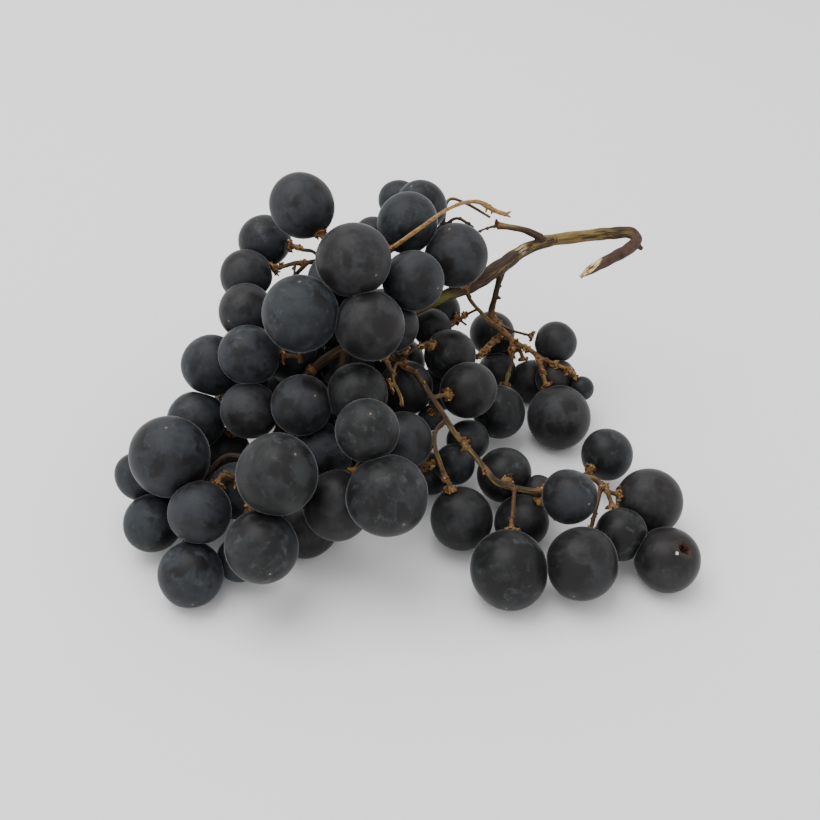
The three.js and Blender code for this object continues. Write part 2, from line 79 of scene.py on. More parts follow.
# Branches of the stalk: the places that each passes through and how thick it is at some of them
branches = {
    "peduncle": ([(58, 49, 55.7), (64, 52, 56.5), (68.5, 54.5, 57.6), (73.5, 58, 58.3),
                  (77.5, 61, 58.5), (81.5, 65.5, 59), (82, 69, 59.5), (79.5, 70.3, 60.5),
                  (73.5, 69, 61), (69, 68.5, 61), (58, 66, 61), (48, 63.5, 61)],
                 (1.6, 1.7, 1.95, 2.1, 2.15, 2.1, 2.1, 2.15, 2.2, 2.25, 2.2, 2.1)),
    "rachis": ([(52, 64.5, 61), (43, 60.5, 60.5), (38, 57, 59.5), (33.5, 53, 58), (28.5, 49.5, 56.5),
                (24, 46.5, 55), (19.5, 44, 54), (14.5, 42.5, 53), (9, 40.5, 51.5), (0, 39, 47),
                (-10, 36, 43), (-22, 28, 40), (-34, 17, 38), (-40, 4, 33.5), (-48, -16, 28),
                (-55.5, -24.5, 27.5), (-60, -25.5, 29.5)],
               (1.9, 2.2, 2.4, 2.75, 2.8, 2.6, 2.4, 2.2, 2.1, 2.1, 2.1, 2, 1.8, 1.6, 1.4, 1.3, 1.4)),
    "sideBranch": ([(47, 62, 63.5), (41, 61, 67), (35.5, 61.5, 68), (31, 62, 68.5)],
                   (1.5, 1.2, 1.05, 1.4)),
    "sideTwig": ([(31, 62, 68.5), (27.5, 59.5, 69), (24, 55.5, 70)],
                 (0.6, 0.4, 0.4)),
    "wing": ([(-8, 35, 43), (-7, 21, 42), (-3, 13, 44), (2, 8, 44), (6, 2, 41), (11, -5, 37),
              (15, -10, 33), (20, -14, 29), (25, -20, 26), (28, -23, 24), (34, -24, 22), (43, -23, 20),
              (52, -16, 19), (60, -17, 20), (64, -24, 21)],
             (1.5, 1.3, 1, 1.05, 1.05, 1, 0.95, 0.95, 1, 1.15, 1, 0.95, 0.95, 0.95, 1)),
    "rightDrop": ([(33, 52, 57), (31.5, 50, 52), (30.5, 49, 47), (29.5, 49.5, 41), (29.5, 51, 36)],
                  (1.5, 1.1, 1.05, 1.2, 1.4)),
    "rightRunner": ([(20, 44, 54), (20.5, 43.5, 51), (22.5, 43.5, 47.5), (25, 44, 44),
                     (29, 46.5, 37.5), (34, 47.5, 32.5), (39, 46.5, 28), (44, 45, 26), (47.5, 43, 24),
                     (51, 42, 22.5)],
                    (0.75, 0.7, 0.7, 0.7, 0.9, 1.1, 0.95, 0.9, 0.8, 0.8)),
    "shoulderBranch": ([(-10, 36, 43), (-17, 37, 50), (-24, 42, 57), (-29.5, 45, 63.5),
                        (-35.5, 45, 64), (-40, 46, 63), (-45, 45, 62)],
                       (1.5, 1.3, 1.2, 1.1, 0.8, 0.8, 0.7)),
    "shoulderTwig": ([(-29.5, 45, 63.5), (-33.5, 48.5, 66), (-37.5, 51.5, 65), (-39, 53, 65)],
                     (0.8, 0.6, 0.7, 0.8)),
    "topTwig": ([(-29.5, 45, 63.5), (-25, 37.5, 73), (-28, 29.5, 82.5)],
                (1, 0.8, 0.9)),
    "shortSpur": ([(-40, 46, 63), (-39.5, 37, 64.5)],
                  (0.6, 0.4)),
    "lowShoulderBranch": ([(-35.5, 45, 64), (-42, 42.5, 58), (-47, 41, 53)],
                          (0.8, 0.7)),
    "frontTopTwig": ([(-24, 42, 57), (-33, 27, 55.5), (-36, 14.5, 50), (-36, 6, 50.5)],
                     (1, 0.8, 0.7, 0.8)),
    "frontBranch": ([(-22, 28, 40), (-24, 12, 36), (-19, -6, 33), (-18, -17, 36), (-15, -26, 39)],
                    (1.7, 1.1)),
    "leftBranch": ([(-41, 1, 32), (-52, 3, 25), (-60, 5, 27.5)],
                   (1.2, 0.9)),
    "lowLeftBranch": ([(-50, -18, 28.5), (-60, -14, 27), (-67, -18, 22), (-73, -23, 18),
                       (-78, -21, 19)],
                      (1, 0.8)),
    "leftFrontTwig": ([(-46, -12, 29), (-45, -24, 32)],
                      (1, 0.9)),
    "lowTipTwig": ([(-55.5, -24.5, 27.5), (-52, -33.5, 26), (-50.5, -36.5, 26)],
                   (0.9, 0.9)),
    "backBranch": ([(-13, 35, 42), (-19, 48, 36), (-31, 50, 25), (-38, 52, 20)],
                   (1.4, 0.9)),
    "underBranch": ([(-24, 26, 39), (-26, 26, 28), (-25, 25, 18)],
                    (1.2, 0.9)),
    "lowFrontBranch": ([(-20, -4, 33), (-20, 0, 21), (-23, -4, 12), (-26, -14, 10)],
                       (1.2, 0.9)),
    "crownBranch": ([(-10, 36, 43), (-15, 35, 52), (-15, 35, 62), (-13, 33, 69)],
                    (1.3, 1)),
    "middleDrop": ([(-2, 38, 46), (-3, 34, 36), (0, 33, 27)],
                   (1.1, 0.9)),
    "middleTwig": ([(-3, 13, 44), (-4.5, 9.5, 47), (-5.5, 0.5, 48), (-3, -6.5, 46), (-2.5, -10, 45)],
                   (0.8, 0.55, 0.5, 0.6, 0.7)),
    "frontDropTwig": ([(12, -6, 36), (8.5, -9, 33.5), (8, -13.5, 31.5), (10, -19, 27.5),
                       (11.5, -22.5, 25)],
                      (0.9, 0.75, 0.75, 0.8, 1)),
    "wingDrop": ([(8, -11, 32), (5, -11, 23), (3, -8, 17)],
                 (0.8, 0.7)),
    "wingUnderTwig": ([(43, -23, 20), (45, -26, 17), (47.5, -31, 14.5)],
                      (0.9, 0.8)),
    "tipTwig": ([(54, -16, 19), (58, -10, 14)],
                (0.8, 0.8)),
    "rightTwig": ([(47.5, 43, 24), (52, 40.5, 23.5), (59.5, 37, 22)],
                  (0.8, 0.7)),
    "rightBackTwig": ([(29.5, 51, 36), (37, 53.5, 29), (44.2, 53.2, 26.7)],
                      (0.7, 0.5, 0.5)),
    "rightFrontTwig": ([(46, 44, 25), (47.5, 40, 23.5), (48.5, 35.5, 21.5)],
                       (0.9, 1)),
    "rightUnderTwig": ([(37, 47, 29.5), (37.5, 43, 24), (36, 38, 20.5)],
                       (0.7, 0.6, 0.7)),
    "rustySpur": ([(34, 48, 32), (31.5, 48, 28.5), (28.5, 44.5, 28), (25, 39, 27.5)],
                  (1, 1.1, 1.2, 1.1)),
    "rightLowTwig": ([(34, 48, 32), (39, 51, 24), (41, 57, 18)],
                     (0.9, 0.8)),
    "heartTwig": ([(24, 44, 45), (20, 46.5, 40.5), (18, 47, 38), (16, 46.5, 37.5)],
                  (0.5, 0.45)),
    "heartSpur": ([(18, 47, 38), (20.5, 46, 36.5)],
                  (0.45, 0.4)),
    "tangle": ([(-5, 17, 43), (-1.5, 17, 45), (3.5, 23, 44.5), (7, 27, 43.5)],
               (0.7, 0.55, 0.5, 0.5)),
    "topBranch": ([(9, 40.5, 51), (6, 52, 54), (7, 63, 60), (12, 71, 64)],
                  (1.3, 0.8)),
    "upperTwig": ([(12, 70, 64), (14, 77, 70), (20, 75, 70), (29, 70, 67)],
                  (0.65, 0.5)),
    "lowerTwig": ([(12, 70, 63), (17, 71, 66), (23, 68, 64)],
                  (0.65, 0.5)),
}

# Lengths in millimetres
stemShape = {
    "voxel": 0.27,
    "branchSteps": 8,
    "thickFrom": 1.5,  # branches that start wider than this have more sides
    "thickSides": 20,
    "thinSides": 14,
    "spurSides": 10,
    "ridges": (0.06, 3, 0.13),  # share of the thickness, count round a branch, winding for each step
    "swells": (0.04, 0.7),  # share of the thickness, how often
    "phases": (0, 6),
    "pedicel": 0.7,
    "pedicelSides": 12,
    "pedicelStep": 0.8,
    "leastSteps": 6,
    "bow": 0.09,
    "rootSwell": 0.45,
    "rootLength": 1.5,
    "receptacle": 2.3,
    "receptacleLength": 2.0,
    "leastRoom": 0.4,  # share of the receptacle's width that is kept beside another berry
    "fullBerry": 9,  # smaller berries have a narrower receptacle
    "flareLength": 0.95,
    "clearance": 0.45,  # between a stem and its berry
    "stemRoom": 0.8,  # kept round the middle of a stem
    "berrySwell": 1.01,
    "attachStep": 2.5,  # stems start at places this far apart
    "cutAngle": 24,
    "cutBack": 5.9,  # from the end of the peduncle to the middle of the cut
    "cutFacing": (-0.35, -0.12, 0.93),
    "cutReach": 11,
    "cutGrip": 0.6,  # corners this share of a voxel short of the cut are still pulled onto it
    "tipReach": 3.7,  # from the middle of the cut to its tip
    "pithUp": 1.3,  # from the middle of the cut up its face
    "pithRadius": 0.45,
    "pithDepth": 0.8,
    "seed": 7,
}
pulledScar = Vector((0.38, -0.33, 0.865)).normalized()  # where the berry that lost its stem shows it


def at(place):
    return (Vector(place[:3]) - bunchMiddle) * mm


# Stems: each starts at the nearest place on the stalk from which it runs clear of the other berries
grapes = [{"knot": knot, "centre": at(place), "radius": place[3] * mm}
          for knot, places in berryKnots.items() for place in places]
centres = np.array([grape["centre"] for grape in grapes])
radii = np.array([grape["radius"] for grape in grapes])


def distances(corners, place):
    return np.linalg.norm(corners - np.array(place), axis=1)


def clearOfGrapes(start, end, owner):
    run = np.array(end - start)
    share = np.clip((centres - np.array(start)) @ run / max(run @ run, 1e-12), 0, 1)
    away = np.linalg.norm(centres - np.array(start) - share[:, None] * run, axis=1)
    room = radii * stemShape["berrySwell"] + (stemShape["stemRoom"] + stemShape["clearance"]) * mm
    return bool(np.all((away > room) | (np.arange(len(grapes)) == owner)))


def attachPlaces():
    places = []
    for name, (route, _) in branches.items():
        if name == "peduncle":
            continue
        for first, second in zip(route, route[1:]):
            start, end = at(first), at(second)
            steps = max(1, round((end - start).length / (stemShape["attachStep"] * mm)))
            places += [start.lerp(end, k / steps) for k in range(steps + 1)]
    return places


def findStems():
    places = attachPlaces()
    for i, grape in enumerate(grapes):
        lengths = [(place - grape["centre"]).length - grape["radius"] for place in places]
        grape["stemEnd"], grape["stem"] = pulledScar, None
        for length, k in sorted(zip(lengths, range(len(places)))):
            if length <= stemShape["receptacleLength"] * mm:
                continue
            outward = (places[k] - grape["centre"]).normalized()
            end = grape["centre"] + outward * (grape["radius"] + stemShape["clearance"] * mm)
            if clearOfGrapes(places[k], end, i):
                grape["stemEnd"], grape["stem"] = outward, (places[k], end)
                break


findStems()
print("stems found for", sum(grape["stem"] is not None for grape in grapes), "of", len(grapes), "berries")


# Mesh helpers
def smoothRun(points, sizes, steps):
    # A smooth line through the points, with the sizes spread evenly along it
    points = [Vector(p) for p in points]
    ends = [points[0] * 2 - points[1]] + points + [points[-1] * 2 - points[-2]]
    run = []
    for i in range(len(points) - 1):
        a, b, c, d = ends[i:i + 4]
        for k in range(steps):
            t = k / steps
            run.append(0.5 * (2 * b + (c - a) * t + (2 * a - 5 * b + 4 * c - d) * t * t
                              + (3 * b - a - 3 * c + d) * t ** 3))
    run.append(points[-1])
    share = np.linspace(0, len(sizes) - 1, len(run))
    return run, np.interp(share, range(len(sizes)), sizes)


def limb(run, thick, sides, change=None):
    # A closed tube: a ring of corners round each point, and a flat cap at both ends
    rings = []
    along = [(run[min(i + 1, len(run) - 1)] - run[max(i - 1, 0)]).normalized() for i in range(len(run))]
    across = along[0].orthogonal()
    for i, point in enumerate(run):
        across = (across - along[i] * across.dot(along[i])).normalized()
        up = along[i].cross(across)
        for k in range(sides):
            turn = 2 * math.pi * k / sides
            size = thick[i] * (1 + (change(i, turn) if change else 0))
            rings.append(point + (across * math.cos(turn) + up * math.sin(turn)) * size)
    faces = []
    for i in range(len(run) - 1):
        for k in range(sides):
            a, b = i * sides + k, i * sides + (k + 1) % sides
            faces.append((a, b, b + sides, a + sides))
    last = (len(run) - 1) * sides
    faces.append(tuple(reversed(range(sides))))
    faces.append(tuple(range(last, last + sides)))
    return rings, faces


def blob(place, size, stretch, draw):
    # A lumpy little ball: two tips, and two rings of corners between them, one turned against the other
    axis = Vector((draw.uniform(-1, 1), draw.uniform(-1, 1), draw.uniform(-1, 1))).normalized()
    side = axis.orthogonal().normalized()
    up = axis.cross(side)
    corners = [axis * stretch, -axis * stretch]
    sides, ringWide, uneven = 6, 0.87, (0.8, 1.15)
    for level, twist in ((0.5, 0.25), (-0.5, -0.25)):
        for k in range(sides):
            turn = 2 * math.pi * (k + twist) / sides
            wide = ringWide * draw.uniform(*uneven)
            corners.append(axis * level * stretch + (side * math.cos(turn) + up * math.sin(turn)) * wide)
    faces = []
    for k in range(sides):
        a, b = 2 + k, 2 + (k + 1) % sides
        c, d = a + sides, b + sides
        faces += [(0, a, b), (1, d, c), (a, c, d), (a, d, b)]
    return [place + corner * size for corner in corners], faces


def joined(parts):
    corners, faces = [], []
    for partCorners, partFaces in parts:
        start = len(corners)
        corners += partCorners
        faces += [tuple(start + i for i in face) for face in partFaces]
    return corners, faces


def makeObject(name, corners, faces, smooth=True):
    mesh = bpy.data.meshes.new(name)
    mesh.from_pydata([tuple(corner) for corner in corners], [], faces)
    mesh.update()
    if smooth:
        mesh.polygons.foreach_set("use_smooth", [True] * len(mesh.polygons))
    made = bpy.data.objects.new(name, mesh)
    bpy.context.scene.collection.objects.link(made)
    return made


def setValues(mesh, name, values):
    values = np.asarray(values, dtype=np.float32)
    isVector = values.ndim == 2
    layer = mesh.attributes.new(name, "FLOAT_VECTOR" if isVector else "FLOAT", "POINT")
    layer.data.foreach_set("vector" if isVector else "value", values.ravel())


def makeOneSkin(made, voxel):
    # Parts that cross are joined under one skin of small even faces
    remesh = made.modifiers.new("oneSkin", "REMESH")
    remesh.mode = "VOXEL"
    remesh.voxel_size = voxel * mm
    shaped = made.evaluated_get(bpy.context.evaluated_depsgraph_get())
    mesh = bpy.data.meshes.new_from_object(shaped)
    made.modifiers.clear()
    old = made.data
    made.data = mesh
    bpy.data.meshes.remove(old)


# Berries. Depths are shares of the radius, and widths are degrees seen from the centre
grapeShape = {
    "around": 60,
    "stemRings": (0, 1.5, 3.5, 5.5, 7.5, 9.5, 11.5, 14),  # degrees from either end
    "ringStep": 6,
    "longer": (0.0, 0.035),  # share by which a berry is longer along its stem
    "dimple": 0.055,
    "dimpleWidth": 11,
    "pit": 0.17,
    "pitWidth": 10.2,
    "pitEdge": ((0.14, 2, 2.2), (0.05, 5, 0), (0.03, 9, 2)),  # waves round its rim: height, count, start
    "pitLobes": 0.35,
    "pitFloor": 3,
    "chipWidth": 4.5,
    "nub": 0.012,
    "nubWidth": 2.2,
    "hollow": 0.010,
    "hollowWidth": 9,
    "lumps": 5,
    "lump": 0.009,
    "lumpSpread": 1.6,
    "phases": (0, 6.3),
    "press": 0.22,  # rounding of the edge where two berries press on each other
    "pressGap": 0.03,
    "seed": 23,
}
# How much more or less bloom than usual the berries of a branch carry. This is partly painted light and
# shade: branches high and to the left in the bunch are painted lighter, and those deep inside it and low
# at the front are painted darker, as the light falls there
bloomAndPaintedLightOf = {"lone_shoulder": 0.4, "crown": 0.4, "top": 0.6, "shoulder": 0.6, "upper_left": 0.8,
           "left_tip": 0.4, "front_left": -0.1, "front": -0.7, "heart": -0.5, "inner": -0.35,
           "right": -0.3, "low_middle": -0.15, "wing_middle": -0.2, "wing_end": -0.7, "lone_front": -0.3}
chipFacing = Vector((0.078, -0.527, 0.847)).normalized()  # where a pale chip of the stem is stuck on it


def ringAngles():
    # From the stem end to the scar, close together near both
    close, step = list(grapeShape["stemRings"]), grapeShape["ringStep"]
    between = list(np.arange(close[-1] + step, 180 - close[-1] - 1, step))
    return np.radians(close + between + [180 - angle for angle in reversed(close)])


def grapeTemplate():
    # Directions of the corners of a ball whose stem end is +Z, and its faces
    angles, around = ringAngles(), grapeShape["around"]
    turns = np.arange(around) * 2 * np.pi / around
    inner = angles[1:-1]
    ring = np.stack([np.outer(np.sin(inner), np.cos(turns)), np.outer(np.sin(inner), np.sin(turns)),
                     np.outer(np.cos(inner), np.ones(around))], axis=-1).reshape(-1, 3)
    corners = np.vstack([[0, 0, 1], ring, [0, 0, -1]])
    faces = []
    for k in range(around):
        n = (k + 1) % around
        faces.append((0, 1 + k, 1 + n))
        for i in range(len(inner) - 1):
            a, b = 1 + i * around, 1 + (i + 1) * around
            faces.append((a + k, b + k, b + n, a + n))
        last = 1 + (len(inner) - 1) * around
        faces.append((len(corners) - 1, last + n, last + k))
    return corners, faces


ballCorners, ballFaces = grapeTemplate()


def bell(distance):
    return np.exp(-distance ** 2)


def grapeCorners(grape, others, draw):
    x, y, z = ballCorners.T
    fromStem = np.degrees(np.arccos(np.clip(z, -1, 1)))
    fromScar = 180 - fromStem
    turnRound = np.arctan2(y, x)
    size = np.ones(len(z))
    for _ in range(grapeShape["lumps"]):
        bump = np.array([draw.gauss(0, grapeShape["lumpSpread"]) for _ in range(3)])
        size += grapeShape["lump"] * np.sin(ballCorners @ bump + draw.uniform(*grapeShape["phases"]))
    size -= grapeShape["dimple"] * bell(fromStem / grapeShape["dimpleWidth"])
    nub = grapeShape["nub"] * bell(fromScar / grapeShape["nubWidth"])
    size += nub - grapeShape["hollow"] * bell(fromScar / grapeShape["hollowWidth"])
    # The berry that lost its stem has a ragged pit there
    waves = (height * np.sin(count * turnRound + start) for height, count, start in grapeShape["pitEdge"])
    pitWidth = grapeShape["pitWidth"] * sum(waves, 1.0)
    inPit = bell((fromStem / pitWidth) ** 2) * (grape["stem"] is None)
    lobes = grapeShape["pitLobes"] * np.sin(3 * turnRound) * (fromStem > grapeShape["pitFloor"])
    size -= grapeShape["pit"] * inPit * (1 - lobes)
    longer = draw.uniform(*grapeShape["longer"])
    turn = Vector((0, 0, 1)).rotation_difference(grape["stemEnd"]).to_matrix()
    spun = (ballCorners * np.array((1 - longer / 2, 1 - longer / 2, 1 + longer))) @ np.array(turn).T
    corners = spun * (size * grape["radius"])[:, None]
    for other in others:
        apart = np.array(other["centre"] - grape["centre"])
        gap = np.linalg.norm(apart)
        if gap < grape["radius"] + other["radius"]:
            plane = (gap ** 2 + grape["radius"] ** 2 - other["radius"] ** 2) / (2 * gap)
            corners = pressed(corners, apart / gap, plane - grapeShape["pressGap"] * mm)
    corners = pressed(corners, np.array((0, 0, -1)), grape["centre"].z)
    towardsChip = ballCorners @ np.array(turn).T @ np.array(chipFacing)
    fromChip = np.degrees(np.arccos(np.clip(towardsChip, -1, 1)))
    chip = bell(fromChip / grapeShape["chipWidth"]) * (grape["stem"] is None)
    readings = {"toScar": np.radians(fromScar) * grape["radius"] / mm, "toStem": fromStem, "pit": inPit,
                "chip": chip}
    return corners + np.array(grape["centre"]), readings


def pressed(corners, away, limit):
    # Corners past a plane are pushed back onto it, with a rounded edge. The rounding is left out
    # far from the plane, where it would change next to nothing
    soft, most, wellPast, wellShort = grapeShape["press"] * mm, 30, 25, -8
    height = corners @ away
    over = np.clip((height - limit) / soft, -most, most)
    eased = np.where(over > wellPast, limit, height - soft * np.log1p(np.exp(over)))
    change = np.where(over > wellShort, eased - height, 0)
    return corners + change[:, None] * away


def makeGrapes(knot, material, draw):
    own = [grape for grape in grapes if grape["knot"] == knot]
    corners, faces, readings = [], [], []
    for grape in own:
        others = [other for other in own if other is not grape]
        shaped, values = grapeCorners(grape, others, draw)
        start = len(ballCorners) * len(corners)
        corners.append(shaped)
        faces += [tuple(start + i for i in face) for face in ballFaces]
        # The tone is a random draw plus the bloom and the painted light and shade of the berry's branch
        values["tone"] = np.full(len(shaped), draw.random() + bloomAndPaintedLightOf.get(knot, 0))
        values["shade"] = np.full(len(shaped), draw.random())
        readings.append(values)
    made = makeObject(f"grapes_{knot}", np.vstack(corners), faces)
    for name in readings[0]:
        setValues(made.data, name, np.concatenate([values[name] for values in readings]))
    made.data.materials.append(material)
    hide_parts(f"berries_{knot}")
    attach(made, "root")


# Shader values
class Wire:
    # Wraps a socket, so that sums and products of wires add their own Math nodes
    def __init__(self, tree, socket=None):
        self.tree, self.socket = tree, socket

    def node(self, kind, settings=None, inputs=None, output=0):
        made = self.tree.nodes.new(kind)
        for key, value in (settings or {}).items():
            setattr(made, key, value)
        for key, value in (inputs or {}).items():
            if isinstance(value, Wire):
                self.tree.links.new(value.socket, made.inputs[key])
            else:
                made.inputs[key].default_value = value
        return Wire(self.tree, made.outputs[output] if len(made.outputs) else None)

    def maths(self, operation, *values):
        return self.node("ShaderNodeMath", {"operation": operation}, dict(enumerate(values)))

    def __add__(self, other):
        return self.maths("ADD", self, other)

    def __sub__(self, other):
        return self.maths("SUBTRACT", self, other)

    def __rsub__(self, other):
        return self.maths("SUBTRACT", other, self)

    def __mul__(self, other):
        return self.maths("MULTIPLY", self, other)

    __radd__ = __add__
    __rmul__ = __mul__

    def limited(self):
        return self.node("ShaderNodeClamp", None, {"Value": self})

    def rise(self, low, high):
        # 0 below low, 1 above high, eased between; low above high gives a fall
        settings = {"interpolation_type": "SMOOTHSTEP"}
        inputs = {"Value": self, "From Min": low, "From Max": high}
        return self.node("ShaderNodeMapRange", settings, inputs)

    def mixed(self, first, second):
        # Colours: first where this wire is 0, second where it is 1
        inputs = {0: self}
        for key, colour in ((6, first), (7, second)):
            inputs[key] = colour if isinstance(colour, Wire) else (*colour, 1)
        return self.node("ShaderNodeMix", {"data_type": "RGBA"}, inputs, 2)


def startMaterial(name):
    material = bpy.data.materials.new(name)
    material.use_nodes = True
    material.node_tree.nodes.clear()
    return material, Wire(material.node_tree)


def mapped(base, spot, shift=(0, 0, 0), stretch=(1, 1, 1)):
    return base.node("ShaderNodeMapping", None, {"Vector": spot, "Location": shift, "Scale": stretch})


def millimetres(base, shift=(0, 0, 0), stretch=(1, 1, 1)):
    spot = base.node("ShaderNodeTexCoord", None, None, 3)
    return mapped(base, spot, shift, tuple(s / mm for s in stretch))


def cloud(base, look, spot=None):
    # A cloudy pattern of a certain scale, detail and roughness, with a shift and a stretch if they follow
    scale, detail, roughness, *moved = look
    place = millimetres(base, *moved) if spot is None else mapped(base, spot, *moved)
    inputs = {"Vector": place, "Scale": scale, "Detail": detail, "Roughness": roughness}
    return base.node("ShaderNodeTexNoise", None, inputs)


def reading(base, name, output=2):
    return base.node("ShaderNodeAttribute", {"attribute_name": name}, None, output)


def finishMaterial(base, colour, roughness, height, relief, fixed):
    bump = base.node("ShaderNodeBump", None, {"Height": height, "Distance": relief * mm, "Strength": 1.0})
    inputs = {"Base Color": colour, "Roughness": roughness, "Normal": bump, **fixed}
    shader = base.node("ShaderNodeBsdfPrincipled", None, inputs)
    base.node("ShaderNodeOutputMaterial", None, {"Surface": shader})


skinLook = {
    "skin": (0.0094, 0.0092, 0.0092),
    "redSkin": (0.0125, 0.0106, 0.0102),
    "blueBloom": (0.0270, 0.0318, 0.0372),
    "greenBloom": (0.0272, 0.0298, 0.0318),
    "dustyBloom": (0.0330, 0.0330, 0.0362),
    "edge": (0.072, 0.082, 0.090),
    "scar": (0.17, 0.135, 0.095),
    "stemRing": (0.040, 0.020, 0.012),
    "speck": (0.17, 0.15, 0.11),
    "pit": (0.016, 0.0024, 0.0020),
    "pitRim": (0.040, 0.014, 0.009),
    "pitStain": (0.040, 0.034, 0.022),
    "chip": (0.55, 0.48, 0.38),
    "glossy": 0.40,
    "dull": 0.60,
    "specular": 0.18,
    "sheen": 0.32,
    "sheenRoughness": 0.20,
    "sheenTint": (0.92, 0.96, 1.0, 1),
    "relief": 0.04,
}
# Scale, detail, roughness, shift and stretch of each pattern on the skin
skinClouds = {
    "broad": (0.085, 2.0, 0.45),
    "patches": (0.17, 4.0, 0.6, (31, 7, 12)),
    "mottle": (0.55, 3.0, 0.6, (2, 9, 5), (1, 1, 0.55)),
    "grain": (2.2, 3.0, 0.65),
    "wear": (0.12, 3.0, 0.55, (3, 41, 19)),
    "drifts": (0.24, 4.0, 0.65, (17, 3, 8)),
    "speckPlaces": (0.15, 1.0, 0.5, (11, 1, 6)),
    "ragged": (1.6, 2.0, 0.5),
}
# Where a pattern starts and where it is full: scar and ring in millimetres, torn in degrees
skinEdges = {
    "redSkin": (0.3, 1.0),
    "blueBloom": (0.2, 0.8),
    "dustyBloom": (0.45, 1.0),
    "rubbed": (0.49, 0.63),
    "patches": (0.38, 0.62),
    "drifts": (0.50, 0.66),
    "driftsFrom": (0.42, 0.53),
    "driftsTo": (0.60, 0.54),
    "driftsOn": (0.75, 0.35),
    "speck": (0.085, 0.04),
    "speckPlaces": (0.58, 0.66),
    "scar": (0.55, 0.3),
    "ringFrom": (0.55, 0.8),
    "ringTo": (1.6, 1.0),
    "torn": (14, 10),
    "pitRim": (0.05, 0.30),
    "pit": (0.30, 0.60),
    "chip": (0.50, 0.62),
}
# How much each pattern adds to the bloom, or takes from it
bloomMix = {"usual": 0.50, "broad": 1.7, "mottle": 1.0, "grain": 0.35, "tone": 0.28, "patches": 0.50,
            "less": 0.24, "rubbed": 0.9}
speckShape = {"scale": 0.62, "chosen": (0.45, 0.5), "strength": 0.75}


def skinMaterial():
    material, base = startMaterial("grapeSkin")
    tone, shade, pit = reading(base, "tone"), reading(base, "shade"), reading(base, "pit")
    toScar, toStem, chip = reading(base, "toScar"), reading(base, "toStem"), reading(base, "chip")
    clouds = {name: cloud(base, look) for name, look in skinClouds.items()}
    patches, mottle, grain, wear = (clouds[name] for name in ("patches", "mottle", "grain", "wear"))
    # The bloom lies in soft broad clouds, rubbed off in round patches and drifted up beside some of them
    bloom = bloomMix["usual"]
    for name in ("broad", "mottle", "grain"):
        bloom += (clouds[name] - 0.5) * bloomMix[name]
    # The tone brings in the painted light and shade of each branch as well as its random bloom
    bloom += (tone - 0.5) * bloomMix["tone"]
    bloom += patches.rise(*skinEdges["patches"]) * bloomMix["patches"]
    kept = 1 - wear.rise(*skinEdges["rubbed"]) * bloomMix["rubbed"]
    bloom = (bloom - bloomMix["less"]).limited() * kept
    skin = shade.rise(*skinEdges["redSkin"]).mixed(skinLook["skin"], skinLook["redSkin"])
    dust = tone.rise(*skinEdges["blueBloom"]).mixed(skinLook["greenBloom"], skinLook["blueBloom"])
    dust = shade.rise(*skinEdges["dustyBloom"]).mixed(dust, skinLook["dustyBloom"])
    colour = bloom.mixed(skin, dust)
    drifts = clouds["drifts"].rise(*skinEdges["drifts"]) * wear.rise(*skinEdges["driftsFrom"])
    drifts = drifts * wear.rise(*skinEdges["driftsTo"]) * (0.2 + shade.rise(*skinEdges["driftsOn"]) * 0.8)
    colour = (drifts * (0.34 + (mottle - 0.5) * 0.8)).limited().mixed(colour, skinLook["edge"])
    # Small corky specks stand in loose groups
    inputs = {"Vector": millimetres(base), "Scale": speckShape["scale"], "Randomness": 1.0}
    specks = base.node("ShaderNodeTexVoronoi", None, inputs).rise(*skinEdges["speck"])
    drawn = base.node("ShaderNodeTexVoronoi", None, inputs, 1)
    chosen = base.node("ShaderNodeSeparateColor", None, {"Color": drawn}).rise(*speckShape["chosen"])
    dots = specks * chosen * clouds["speckPlaces"].rise(*skinEdges["speckPlaces"])
    colour = (dots * speckShape["strength"]).mixed(colour, skinLook["speck"])
    # The scar of the flower at one end, in a ring of bloom, and the rough skin round the stem at the other
    ragged = (clouds["ragged"] - 0.5) * 0.9
    scar = (toScar + ragged * 0.5).rise(*skinEdges["scar"])
    ring = (toScar + ragged).rise(*skinEdges["ringFrom"]) * toScar.rise(*skinEdges["ringTo"])
    colour = (ring * 0.4).mixed(colour, skinLook["dustyBloom"])
    colour = (scar * 0.85).mixed(colour, skinLook["scar"])
    torn = (toStem + ragged * 5).rise(*skinEdges["torn"])
    colour = (torn * (1 - pit.rise(0.0, 0.02))).mixed(colour, skinLook["stemRing"])
    # The berry that lost its stem: a wet dark hole in a stained ring, and a pale chip beside it
    stain = pit.rise(0.0, 0.0002) * (0.35 + ragged)
    colour = stain.limited().mixed(colour, skinLook["pitStain"])
    colour = pit.rise(*skinEdges["pitRim"]).mixed(colour, skinLook["pitRim"])
    colour = pit.rise(*skinEdges["pit"]).mixed(colour, skinLook["pit"])
    flake = (chip + ragged * 0.5).rise(*skinEdges["chip"])
    colour = flake.mixed(colour, skinLook["chip"])
    roughness = skinLook["glossy"] + bloom * (skinLook["dull"] - skinLook["glossy"]) + pit * 0.1
    height = grain * 0.25 + patches * 0.6 + dots * 0.8 + scar * 1.2 - torn * 1.0 + flake * 4.0
    fixed = {"Specular IOR Level": skinLook["specular"], "Sheen Weight": skinLook["sheen"],
             "Sheen Roughness": skinLook["sheenRoughness"], "Sheen Tint": skinLook["sheenTint"]}
    finishMaterial(base, colour, roughness, height, skinLook["relief"], fixed)
    return material


# Stalk
warts = {
    "spacing": 5,  # steps along a branch
    "chance": 0.8,
    "sizes": (0.4, 0.85),
    "stretch": (1, 1.8),
    "standOut": 0.9,
    "pedicelChance": 0.5,
    "pedicelSizes": (0.25, 0.5),
    "pedicelStretch": 1.3,
}
